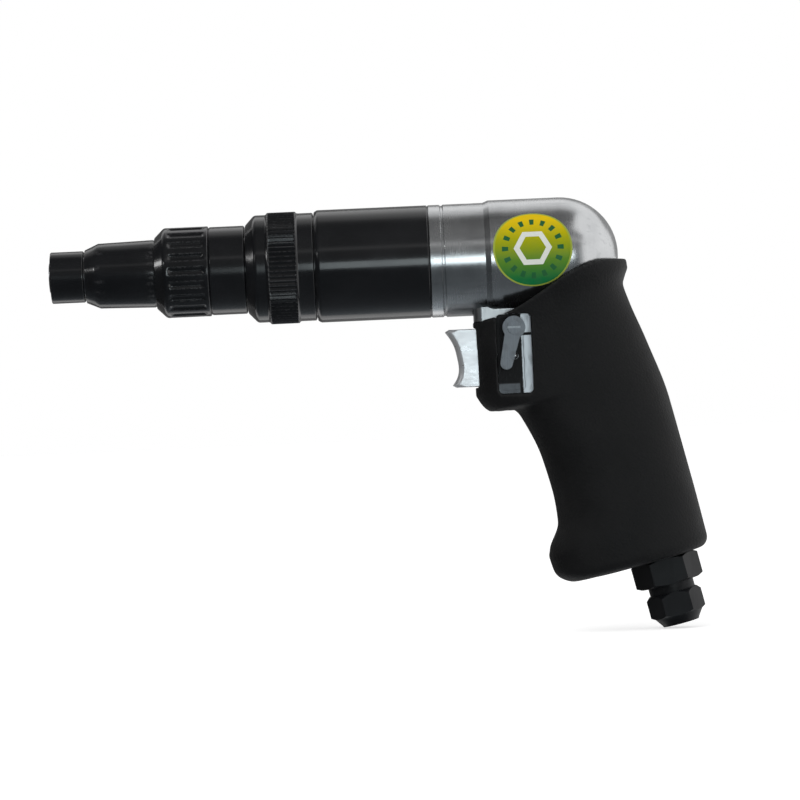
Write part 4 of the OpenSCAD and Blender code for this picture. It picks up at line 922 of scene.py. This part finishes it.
floor_pale, tree, shader = bare_finish("pale_floor", Roughness=0.9, Base_Color=(0.8, 0.8, 0.8, 1))
path = put(tree, "ShaderNodeLightPath").outputs
lifted = reckon(tree, "MULTIPLY", path["Is Camera Ray"], 0.6)
lift = put(tree, "ShaderNodeEmission", {0: white, 1: lifted}).outputs[0]
both = put(tree, "ShaderNodeAddShader", {0: shader.outputs[0], 1: lift}).outputs[0]
tree.links.new(both, tree.nodes["Material Output"].inputs[0])
ground = cad_box[0][2] - 0.3 * MM
floor_half = 8
square = ((-1, -1), (1, -1), (1, 1), (-1, 1))
floor_corners = [(x * floor_half, y * floor_half, ground) for x, y in square]
floor = sheet_of("floor", floor_corners, [range(4)], floor_pale)
floor.visible_glossy = False


def lamp(name, power, size, at, aim, colour=(1, 1, 1)):
    made = placed(name, bpy.data.lights.new(name, "AREA"))
    made.data.shape = "RECTANGLE"
    made.data.size, made.data.size_y = size
    made.data.energy = power
    made.data.color = colour
    made.location = at
    made.rotation_euler = (Vector(aim) - Vector(at)).to_track_quat("-Z", "Y").to_euler()
    return made


key = lamp("key", 9, (1.2, 1.2), (-0.3, -1.1, 1.5), centre)
key.visible_glossy = False
nose = (0.06, 0, 0)
lamp("strip", 5.0, (1.0, 0.42), (0.56, -1.9, -0.04), (0.56, 0, -0.04), (0.86, 0.97, 1.0))
lamp("nose_glint", 1.5, (0.14, 0.14), (-1.65, -1.37, 0.78), nose)
lamp("nose_light", 2.0, (0.25, 0.25), (-1.9, 0.1, 0.5), nose)

card_reach = 2.6
card_cut_x = 1.35
card_strips = 32


def only_reflected(made):
    for ray in ("camera", "diffuse", "shadow", "transmission", "volume_scatter"):
        setattr(made, "visible_" + ray, False)


def card(name, first, last, levels, cut_from=180):
    finish, tree = bare_finish(name)[:2]
    xyz = object_xyz(tree)
    turn = reckon(tree, "ARCTAN2", xyz[2], reckon(tree, "MULTIPLY", xyz[1], -1.0))
    stops = []
    for at, level in levels:
        red, blue = (0.9, 1.08) if at < 0 else (1, 1)
        stops.append(((at - first) / (last - first), (level * red, level, level * blue)))
    shade = graded(tree, spread(tree, turn, math.radians(first), math.radians(last), 0, 1), stops)
    dimmed = spread(tree, xyz[0], -0.3, 0.3, 0.5, 1.05)
    glow = put(tree, "ShaderNodeEmission", {0: shade, 1: dimmed}).outputs[0]
    tree.links.new(glow, tree.nodes["Material Output"].inputs[0])
    turns = [math.radians(first + (last - first) * k / card_strips) for k in range(card_strips + 1)]
    arc = [(-card_reach * math.cos(t), card_reach * math.sin(t)) for t in turns]
    far_end = [card_cut_x if t > math.radians(cut_from) else card_reach for t in turns]
    corners = [(-card_reach, *at) for at in arc] + [(x, *at) for x, at in zip(far_end, arc)]
    side = len(arc)
    faces = [(k, k + 1, k + 1 + side, k + side) for k in range(card_strips)]
    only_reflected(sheet_of(name, corners, faces, finish))


card("dark_card", -125, 125, [
    (-125, 0.5), (-106, 0.32), (-90, 0.2), (-62, 0.12), (-20, 0.09), (-6, 0.1), (18, 0.2), (27, 0.19),
    (32, 0.7), (38, 0.2), (60, 0.19), (88, 0.13), (98, 0.22), (106, 0.62), (118, 0.85), (125, 1.0)], 48)
card("rear_card", 145, 215, [(145, 0.3), (180, 0.3), (215, 0.3)])
nose_dark = bare_finish("nose_card", Base_Color=(0, 0, 0, 1), Specular_IOR_Level=0.0,
                        Emission_Color=white, Emission_Strength=0.04)[0]
nose_corners = [(-card_reach, y * card_reach, z * card_reach) for y, z in square]
only_reflected(sheet_of("nose_card", nose_corners, [range(4)], nose_dark))
